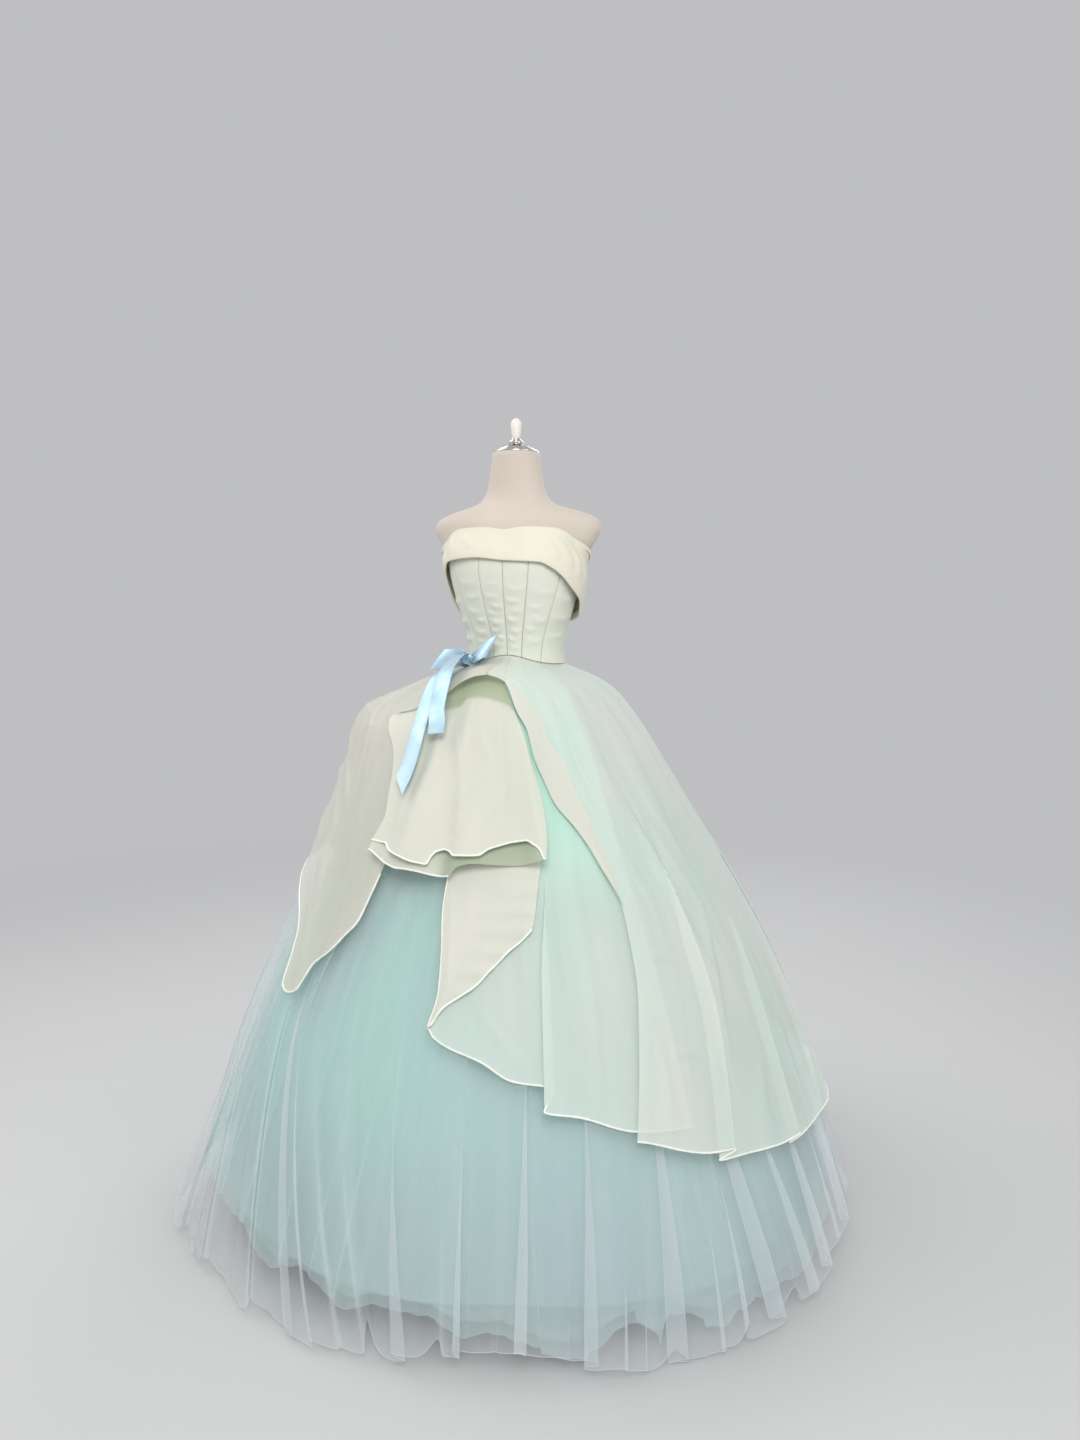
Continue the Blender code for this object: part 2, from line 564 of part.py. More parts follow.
def skirt_reach(angle, height):
    drop = drop_at(angle, height)
    reach = ring_reach(angle, skirt_front(drop), skirt_side(drop), skirt_back(drop))
    for kick in HEM_KICKS:
        reach += ramp(drop, KICK_RAMP) * kick.reach * bell(turned_angle(angle), kick.angle, kick.width)
    return reach


def skirt_normal(angle, height):
    """Outward direction of the skirt's base surface."""
    high = min(height + 0.003, waist_height(angle))
    low = height - 0.003
    down = around(angle, low, skirt_reach(angle, low)) - around(angle, high, skirt_reach(angle, high))
    left = around(angle - 1.0, height, skirt_reach(angle - 1.0, height))
    right = around(angle + 1.0, height, skirt_reach(angle + 1.0, height))
    return down.cross(right - left).normalized()


def on_skirt(angle, height, stand):
    """Point on the skirt's base surface, moved out by stand."""
    place = around(angle, height, skirt_reach(angle, height))
    return place + skirt_normal(angle, height) * stand


def gather_height(drop):
    return mix(GATHER_AT_WAIST, GATHER_AT_HEM, ramp(drop, GATHER_RAMP))


def gather(angle, drop):
    """Uneven soft gathers of the outer tulle, in and out."""
    turn = math.radians(angle)
    phase = GATHERS * turn + math.radians(GATHER_DRIFT) * math.sin(3.0 * turn)
    size = 1.0 - GATHER_VARIATION * (1.0 + math.sin(5.0 * turn + 0.7))
    return gather_height(drop) * size * math.cos(phase)


def layer_stand(layer, drop):
    """Depth of a layer: stacked at the waist, then apart as the skirt opens."""
    seam = -layer.stack * LAYER_PITCH
    full = -layer.depth
    if layer.depth > 0.0:
        full -= gather_height(drop)
    return mix(seam, full, ramp(drop, STACK_RAMP))


def layer_hem(layer, angle):
    if layer.depth == 0.0:
        return outer_hem(turned_angle(angle))
    return layer.hem + INNER_WAVE * (0.5 + 0.5 * math.sin(math.radians(INNER_WAVES * angle)))


def cleared_gathers(drop):
    return gather_height(drop) * GATHER_CLEARED * ramp(drop, CLEARED_RAMP)


def over_stand(angle, height):
    """How far the organza overskirt stands off the tulle."""
    drop = drop_at(angle, height)
    near = turned_angle(angle)
    stand = OVER_STAND * ramp(drop, OVER_RAMP) + OVER_STAND_LOW * ramp(drop, OVER_LOW_RAMP)
    stand += cleared_gathers(drop)
    stand *= 1.0 - PRESS_SHARE * bell(near, PRESS_ANGLE, PRESS_WIDTH) * ramp(drop, PRESS_RAMP)
    arch = ramp(drop, ARCH_RAMP) * (1.0 - ramp(drop, ARCH_FADE))
    stand += ARCH_LIFT * arch * bell(near, ARCH_ANGLE, ARCH_WIDTH)
    behind = angle if angle < 0.0 else angle - 360.0
    if near > HIP_ANGLE:
        hip = bell(near, HIP_ANGLE, HIP_WIDTH)
    else:
        hip = bell(behind, HIP_ANGLE, HIP_WIDTH_BEHIND)
    return stand + hip_lift(drop) * hip


def drape_stand(angle, height):
    """Stand-off of the under panel, with its one deep pleat."""
    drop = drop_at(angle, height)
    stand = mix(-LAYER_PITCH, DRAPE_STAND, ramp(drop, DRAPE_RAMP))
    stand += DRAPE_STAND_LOW * ramp(drop, DRAPE_LOW_RAMP) + cleared_gathers(drop)
    return stand + PLEAT_LIFT * bell(angle, PLEAT_ANGLE, PLEAT_WIDTH) * ramp(drop, PLEAT_RAMP)


# Blender pieces

def empty_scene():
    for item in list(bpy.data.objects):
        bpy.data.objects.remove(item, do_unlink=True)


def make_collection():
    group = bpy.data.collections.new("ball_gown")
    bpy.context.scene.collection.children.link(group)
    return group


def make_material(name):
    red, green, blue, roughness, metallic = FINISHES[name]
    material = bpy.data.materials.new(name)
    material.use_nodes = True
    shader = material.node_tree.nodes["Principled BSDF"]
    shader.inputs["Base Color"].default_value = (red, green, blue, 1.0)
    shader.inputs["Roughness"].default_value = roughness
    shader.inputs["Metallic"].default_value = metallic
    return material


def add_object(name, mesh, material):
    item = bpy.data.objects.new(name, mesh)
    item.data.materials.append(materials[material])
    collection.objects.link(item)
    mesh.shade_smooth()
    return item


def grid_mesh(name, rows, ring, ends=False):
    """Faces between rows of points that run down, each row towards a growing angle."""
    count = len(rows[0])
    points = [point for row in rows for point in row]
    faces = []
    for i in range(len(rows) - 1):
        for j in range(count if ring else count - 1):
            k = (j + 1) % count
            upper = i * count
            lower = upper + count
            faces.append((upper + j, lower + j, lower + k, upper + k))
    if ends:
        last = (len(rows) - 1) * count
        faces.append(tuple(range(count)))
        faces.append(tuple(last + j for j in reversed(range(count))))
    mesh = bpy.data.meshes.new(name)
    mesh.from_pydata([tuple(point) for point in points], [], faces)
    mesh.validate()
    return mesh


def cloth(name, rows, wall, material, ring=False):
    """Cloth wall: an open sheet with its thickness shared between both sides."""
    item = add_object(name, grid_mesh(name, rows, ring), material)
    thicken = item.modifiers.new("wall", "SOLIDIFY")
    thicken.thickness = wall
    thicken.offset = 0.0
    thicken.use_even_offset = False
    return item


def turned_piece(name, profile, material, segments=32):
    """Turned piece: a profile given from its outer foot up, closed at the axis."""
    points = [(0.0, 0.0, profile[0][1])]
    points += [(radius, 0.0, height) for radius, height in profile]
    points.append((0.0, 0.0, profile[-1][1]))
    points.reverse()
    edges = [(i, i + 1) for i in range(len(points) - 1)]
    mesh = bpy.data.meshes.new(name)
    mesh.from_pydata(points, edges, [])
    item = add_object(name, mesh, material)
    screw = item.modifiers.new("turn", "SCREW")
    screw.steps = segments
    screw.render_steps = segments
    screw.use_merge_vertices = True
    screw.merge_threshold = 0.00001
    return item


# Gown pieces

def bodice_panels():
    """Ten panels between the bodice seams, five on each side."""
    for side, word in ((1.0, "left"), (-1.0, "right")):
        for panel, start, end in zip(BODICE_PANELS, BODICE_SEAMS, BODICE_SEAMS[1:]):
            columns = 4 if end.top - start.top > WIDE_PANEL else 3
            rows = []
            for share in BODICE_SHARES:
                low = mix(start.waist, start.top, share)
                high = mix(end.waist, end.top, share)
                row = []
                for j in range(columns + 1):
                    angle = mix(low, high, j / columns)
                    bottom = waist_height(angle) + WAIST_GAP
                    height = mix(bottom, neckline(angle), share)
                    gap = gap_angle(bodice_reach(angle, height))
                    angle += gap if j == 0 else -gap if j == columns else 0.0
                    row.append(around(side * angle, height, bodice_reach(angle, height)))
                rows.append(row if side > 0.0 else row[::-1])
            cloth("bodice_" + panel + "_" + word, rows, SATIN_WALL, "bodice_satin")


def cuff_piece(name, start, end, columns):
    """Part of the fold-over cuff between two seams."""
    gap = gap_angle(cuff_reach(start, cuff_low(start)))
    rows = []
    for share in CUFF_SHARES:
        row = []
        for j in range(columns + 1):
            angle = mix(start + gap, end - gap, j / columns)
            height = mix(neckline(abs(angle)) + CUFF_RISE, cuff_low(angle), share)
            row.append(around(angle, height, cuff_reach(angle, height)))
        rows.append(row)
    cloth(name, rows, SATIN_WALL, "cuff_satin")


def layer_rows(layer, drops, angles):
    """Rows of points of a layer at the given angles, from the waist to its hem."""
    rows = []
    for share in drops:
        row = []
        for angle in angles:
            height = mix(waist_height(angle), layer_hem(layer, angle), share)
            drop = drop_at(angle, height)
            stand = layer_stand(layer, drop)
            if layer.depth == 0.0:
                stand += gather(angle, drop) * ramp(drop, STACK_RAMP)
            row.append(on_skirt(angle, height, stand))
        rows.append(row)
    return rows


def eased(point, towards):
    """The point moved half a seam gap along its row."""
    return point + (towards - point).normalized() * 0.5 * SEAM_GAP


def gored_layer(layer, drops, material):
    """A layer sewn from gores, with a seam gap between them."""
    width = 360.0 / GORES
    columns = layer.columns // GORES
    for gore in range(GORES):
        angles = [width * (gore + j / columns) for j in range(columns + 1)]
        rows = layer_rows(layer, drops, angles)
        for row in rows:
            row[0] = eased(row[0], row[1])
            row[-1] = eased(row[-1], row[-2])
        cloth(f"{layer.name}_{gore + 1}", rows, SKIRT_WALL, material)


def whole_layer(layer, drops, material):
    """A layer in one piece all the way round."""
    angles = [360.0 * j / layer.columns for j in range(layer.columns)]
    cloth(layer.name, layer_rows(layer, drops, angles), SKIRT_WALL, material, ring=True)


def panel_rows(heights, shares, start, end, hem, stand):
    """Rows of a panel between two edges given by height. The first rows follow the rise of
    the waist, and the last ones the hem, which is given by angle."""
    rows = []
    for nominal in heights:
        drop = WAIST_HEIGHT - nominal
        fall = drop / (WAIST_HEIGHT - heights[-1])
        rise = 1.0 - smooth(drop / RISE_FADE)

        def height_at(angle):
            height = nominal + (waist_height(angle) - WAIST_HEIGHT) * rise
            return height + (hem(angle) - heights[-1]) * fall ** HEM_SHARE

        def edge_angle(edge):
            angle = edge(nominal)
            for _ in range(4):
                angle = edge(height_at(angle))
            return angle

        first = edge_angle(start)
        last = edge_angle(end)
        gap = gap_angle(skirt_reach(first, height_at(first)))
        row = []
        for share in shares:
            angle = mix(first + gap, last - gap, share)
            height = height_at(angle)
            row.append(on_skirt(angle, height, stand(angle, height)))
        rows.append(row)
    return rows


def even(columns):
    return [j / columns for j in range(columns + 1)]


def overskirt():
    """Four organza panels sewn at the centre front, the sides and the centre back."""
    long_hem = curve(LONG_HEM_ROWS, "angle", "height")
    pointed_hem = line(POINTED_HEM_ROWS, "angle", "height")
    left_front_edge = line(LEFT_FRONT_EDGE_ROWS, "height", "angle")
    right_front_edge = line(RIGHT_FRONT_EDGE_ROWS, "height", "angle")
    rows = panel_rows(LEFT_FRONT_HEIGHTS, even(11), left_front_edge, lambda h: LEFT_SEAM,
                      long_hem, over_stand)
    cloth("overskirt_left_front", rows, SKIRT_WALL, "organza")
    rows = panel_rows(RIGHT_FRONT_HEIGHTS, RIGHT_FRONT_COLUMNS, lambda h: RIGHT_SEAM,
                      right_front_edge, pointed_hem, over_stand)
    cloth("overskirt_right_front", rows, SKIRT_WALL, "organza")
    rows = panel_rows(BACK_HEIGHTS, even(8), lambda h: LEFT_SEAM, lambda h: 180.0,
                      long_hem, over_stand)
    cloth("overskirt_left_back", rows, SKIRT_WALL, "organza")
    rows = panel_rows(BACK_HEIGHTS, even(8), lambda h: 180.0, lambda h: 360.0 + RIGHT_SEAM,
                      long_hem, over_stand)
    cloth("overskirt_right_back", rows, SKIRT_WALL, "organza")


def edge_facing():
    """Turned-back facing that lies on the free edge of the left front panel."""
    edge = line(LEFT_FRONT_EDGE_ROWS, "height", "angle")
    far = line(BAND_ROWS, "height", "angle")
    rows = []
    for height in BAND_HEIGHTS:
        row = []
        for share, lift in FACING_COLUMNS:
            angle = mix(edge(height) + FACING_INSET, far(height), share)
            stand = over_stand(angle, height) + SKIRT_WALL + LAP_GAP + lift
            row.append(on_skirt(angle, height, stand))
        rows.append(row)
    cloth("overskirt_edge_facing", rows, SKIRT_WALL, "organza")


def under_panel():
    """Under panel below the arch, and the part of it that is turned back."""
    edge = curve(DRAPE_EDGE_ROWS, "height", "angle")
    hem = line(DRAPE_HEM_ROWS, "angle", "height")
    rows = panel_rows(DRAPE_HEIGHTS, DRAPE_COLUMNS, edge, lambda h: DRAPE_RIGHT, hem, drape_stand)
    cloth("under_panel", rows, SKIRT_WALL, "organza")
    slant = line(TURN_ROWS, "height", "angle")
    rows = []
    for height in TURN_HEIGHTS:
        row = []
        for j in range(TURN_COLUMNS + 1):
            share = j / TURN_COLUMNS
            angle = mix(edge(height) + TURN_INSET, slant(height), share)
            lift = TURN_LIFT * math.sin(0.5 * math.pi * min(share * 1.4, 1.0))
            stand = drape_stand(angle, height) + SKIRT_WALL + LAP_GAP + lift
            row.append(on_skirt(angle, height, stand))
        rows.append(row)
    cloth("under_panel_turnback", rows, SKIRT_WALL, "organza")


def flounce_pieces():
    """Flounce under the arch, and the strip of it that is folded under at its hem."""
    start = curve(FLOUNCE_ROWS, "height", "start")
    end = curve(FLOUNCE_ROWS, "height", "end")
    stand_off = curve(FLOUNCE_ROWS, "height", "stand")
    hem = curve(FLOUNCE_HEM_ROWS, "angle", "height")

    def stand(angle, height):
        wave = sum(row.lift * bell(angle, row.angle, row.width) for row in FLOUNCE_WAVES)
        free = stand_off(height) + wave * ramp(-height, FLOUNCE_WAVE_RAMP)
        over = max(FLOUNCE_OVER, free - OVER_STAND)
        crossed = mix(FLOUNCE_UNDER, over, ramp(-height, FLOUNCE_CROSSING))
        outer = over_stand(angle, height) + crossed
        full = mix(free, outer, ramp(-angle, FLOUNCE_OUTER_RAMP))
        return mix(-LAYER_PITCH, full, ramp(drop_at(angle, height), FLOUNCE_SEAM_RAMP))

    rows = panel_rows(FLOUNCE_HEIGHTS, even(FLOUNCE_COLUMNS), start, end, hem, stand)
    cloth("flounce", rows, SKIRT_WALL, "organza")
    low = line(UNDERFOLD_HEM_ROWS, "angle", "height")
    rows = []
    for share in (0.0, 0.5, 1.0):
        row = []
        for j in range(UNDERFOLD_COLUMNS + 1):
            across = j / UNDERFOLD_COLUMNS
            angle = mix(start(FLOUNCE_HEIGHTS[-1]) + UNDERFOLD_INSET, UNDERFOLD_END, across)
            height = mix(UNDERFOLD_TOP, low(angle), share)
            behind = mix(SKIRT_WALL + LAP_GAP, UNDERFOLD_DEPTH, smooth(2.0 * across))
            row.append(on_skirt(angle, height, stand(angle, height) - behind))
        rows.append(row)
    cloth("flounce_underfold", rows, SKIRT_WALL, "organza")


def knot_frame():
    """Place of the knot on the bodice, with its along, out and up directions."""
    reach = bodice_reach(KNOT_ANGLE, KNOT_HEIGHT)
    out = around(KNOT_ANGLE, 0.0, 1.0)
    along = Vector((0.0, 0.0, 1.0)).cross(out)
    place = around(KNOT_ANGLE, KNOT_HEIGHT, reach + KNOT_STAND)
    return place, along, out


def bow():
    """Knot, two loops and two tails of one ribbon."""
    place, along, out = knot_frame()
    up = Vector((0.0, 0.0, 1.0))
    shape = bmesh.new()
    frame = Matrix((along, out, up)).transposed().to_4x4()
    placing = Matrix.Translation(place) @ frame @ Matrix.Diagonal((*KNOT_SIZE, 1.0))
    bmesh.ops.create_cube(shape, size=1.0, matrix=placing)
    bmesh.ops.recalc_face_normals(shape, faces=shape.faces)
    mesh = bpy.data.meshes.new("bow_knot")
    shape.to_mesh(mesh)
    shape.free()
    knot = add_object("bow_knot", mesh, "ribbon")
    soften = knot.modifiers.new("soften", "BEVEL")
    soften.width = KNOT_ROUNDING
    soften.segments = 3
    for loop in LOOPS:
        turn = math.radians(loop.tilt)
        lean = math.radians(loop.lean)
        ahead = along * loop.side * math.cos(turn) + up * math.sin(turn)
        upright = out.cross(ahead) * loop.side
        ahead = ahead * math.cos(lean) + out * math.sin(lean)
        end_rise = 0.5 * RIBBON_WIDTH * LOOP_ROWS[0].wide * abs(math.sin(turn))
        start = place + along * loop.side * (0.5 * KNOT_SIZE[0] + SEAM_GAP + end_rise)
        rows = []
        for row in LOOP_ROWS:
            middle = start + ahead * row.along * loop.size + out * row.out
            half = 0.5 * RIBBON_WIDTH * row.wide * loop.size
            turned_in = ramp(row.along, LOOP_TURN_RAMP)
            roll = math.radians(loop.roll) * turned_in
            across = upright * math.cos(roll) - out * math.sin(roll)
            points = []
            for side in (-1.0, 0.0, 1.0):
                slant = ahead * loop.slant * half * side * turned_in
                points.append(middle + across * half * side + slant)
            rows.append(points if loop.side > 0.0 else points[::-1])
        cloth(loop.name, rows, RIBBON_WALL, "ribbon")
    for item in TAILS:
        tail(item)


def tail(item):
    """Ribbon tail from under the knot, over the skirt, with a straight or a pointed end."""
    place, along, out = knot_frame()
    below = 0.5 * KNOT_SIZE[2] + item.down
    middles = [place + along * item.side + out * item.out - Vector((0.0, 0.0, below))]
    middles += [on_skirt(row.angle, row.height, row.stand) for row in item.rows]
    rows = [[middles[0] + along * item.start * side for side in (-1.0, 0.0, 1.0)]]
    for i, row in enumerate(item.rows):
        before = middles[i]
        after = middles[min(i + 2, len(middles) - 1)]
        run = (after - before).normalized()
        across = skirt_normal(row.angle, row.height).cross(run).normalized()
        half = 0.5 * RIBBON_WIDTH * row.wide
        points = [middles[i + 1] + across * half * side for side in (-1.0, 0.0, 1.0)]
        if i == len(item.rows) - 1:
            points[0] = points[0] - run * item.slant
            points[2] = points[2] + run * item.slant
        rows.append(points)
    cloth(item.name, rows, RIBBON_WALL, "ribbon")


def dress_form():
    """Torso with shoulder caps and neck, its neck cap, collar and knob, pole and base."""
    rows = []
    for form_row in reversed(FORM_ROWS):
        row = []
        for j in range(FORM_COLUMNS):
            angle = turned_angle(360.0 * j / FORM_COLUMNS)
            row.append(around(angle, form_row.height, form_reach(angle, form_row.height)))
        rows.append(row)
    add_object("form_torso", grid_mesh("form_torso", rows, True, ends=True), "form_jersey")
    turned_piece("neck_cap", CAP_PROFILE, "silver")
    turned_piece("neck_collar", COLLAR_PROFILE, "silver", 24)
    turned_piece("neck_knob", KNOB_PROFILE, "knob_paint", KNOB_SIDES)
    turned_piece("stand_base", BASE_PROFILE, "stand_paint", 48)
    turned_piece("stand_pole", ((POLE_RADIUS, POLE_FOOT), (POLE_RADIUS, POLE_TOP)), "silver", 24)


empty_scene()
collection = make_collection()
materials = {name: make_material(name) for name in FINISHES}
bodice_panels()
cuff_piece("cuff_front", -CUFF_SIDE_SEAM, CUFF_SIDE_SEAM, 20)
cuff_piece("cuff_back_left", CUFF_SIDE_SEAM, 180.0, 7)
cuff_piece("cuff_back_right", -180.0, -CUFF_SIDE_SEAM, 7)
gored_layer(TULLE_OUTER, TULLE_ROW_DROPS, "tulle")
whole_layer(TULLE_MIDDLE, INNER_ROW_DROPS, "tulle")
whole_layer(TULLE_INNER, INNER_ROW_DROPS, "tulle")
gored_layer(UNDERSKIRT, INNER_ROW_DROPS, "underskirt_satin")
overskirt()
edge_facing()
under_panel()
flounce_pieces()
bow()
dress_form()
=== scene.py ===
import math

import bpy
import numpy as np
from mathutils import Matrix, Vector


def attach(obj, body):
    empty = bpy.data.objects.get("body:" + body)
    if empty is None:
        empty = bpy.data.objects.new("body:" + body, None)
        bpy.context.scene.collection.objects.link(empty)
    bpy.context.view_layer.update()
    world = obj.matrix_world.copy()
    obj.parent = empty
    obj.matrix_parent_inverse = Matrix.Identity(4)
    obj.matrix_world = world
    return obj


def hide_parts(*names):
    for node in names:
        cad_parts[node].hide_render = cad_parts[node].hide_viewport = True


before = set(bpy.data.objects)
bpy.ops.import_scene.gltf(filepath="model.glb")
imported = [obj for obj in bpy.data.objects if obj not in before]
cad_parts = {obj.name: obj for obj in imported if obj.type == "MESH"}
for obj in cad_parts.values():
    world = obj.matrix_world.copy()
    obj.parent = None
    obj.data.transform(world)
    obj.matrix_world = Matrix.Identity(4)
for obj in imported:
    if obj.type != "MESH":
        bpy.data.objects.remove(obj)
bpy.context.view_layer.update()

# Angles on the cloth are degrees round the upright axis: 0 at the front, growing towards
# the gown's own left (+X). Heights are metres above the floor.


# Shapes of curves

def ease(value, start, span):
    t = np.clip((value - start) / span, 0.0, 1.0)
    return t * t * (3.0 - 2.0 * t)


def mix(first, second, share):
    return first + (second - first) * share


def bell(value, centre, width):
    return np.exp(-((value - centre) / width) ** 2)


def wrapped(angle):
    return (angle + 180.0) % 360.0 - 180.0


def crosswise(count):
    return np.linspace(0.0, 1.0, count)[None, :]


def downward(count):
    return np.linspace(0.0, 1.0, count)[:, None]


def softCurve(rows, column=1):
    # smooth line through one column of a table that never passes its points
    rows = sorted(rows)
    xs = np.array([row[0] for row in rows])
    ys = np.array([row[column] for row in rows])
    steps = np.diff(ys) / np.diff(xs)
    before, after = steps[:-1], steps[1:]
    same = before * after > 0.0
    inner = np.where(same, 2.0 * before * after / np.where(same, before + after, 1.0), 0.0)
    slopes = np.concatenate([steps[:1], inner, steps[-1:]])

    def value(x):
        x = np.clip(x, xs[0], xs[-1])
        i = np.clip(np.searchsorted(xs, x, side="right") - 1, 0, len(steps) - 1)
        span = xs[i + 1] - xs[i]
        t = (x - xs[i]) / span
        rise = mix(ys[i], ys[i + 1], t * t * (3.0 - 2.0 * t))
        return rise + t * (1.0 - t) ** 2 * span * slopes[i] + t * t * (t - 1.0) * span * slopes[i + 1]

    return value


def finer(values, step):
    # the same run of values with more in between
    found = [values[0]]
    for first, second in zip(values, values[1:]):
        parts = max(1, math.ceil(abs(second - first) / step))
        found += [mix(first, second, (i + 1) / parts) for i in range(parts)]
    return np.array(found)


def wander(x, seed, terms=6):
    # slow uneven wave between about -1 and 1, the same one each run
    draw = np.random.default_rng(seed)
    total = 0.0
    for i in range(terms):
        wave = np.sin(x * (i + 1) * draw.uniform(0.7, 1.3) + draw.uniform(0.0, 6.28))
        total = total + wave / (1.0 + 0.5 * i)
    return total / 2.6


def around(angle, height, radius):
    turn = np.radians(angle)
    return np.stack(np.broadcast_arrays(radius * np.sin(turn), -radius * np.cos(turn), height), axis=-1)


def walked(points):
    # metres along each column of a grid of points, or along one row of points
    steps = np.linalg.norm(np.diff(points, axis=0), axis=-1)
    return np.concatenate([np.zeros((1,) + steps.shape[1:]), steps.cumsum(0)])


def unit(vectors):
    return vectors / np.maximum(np.linalg.norm(vectors, axis=-1, keepdims=True), 1e-12)


# Bodice and form

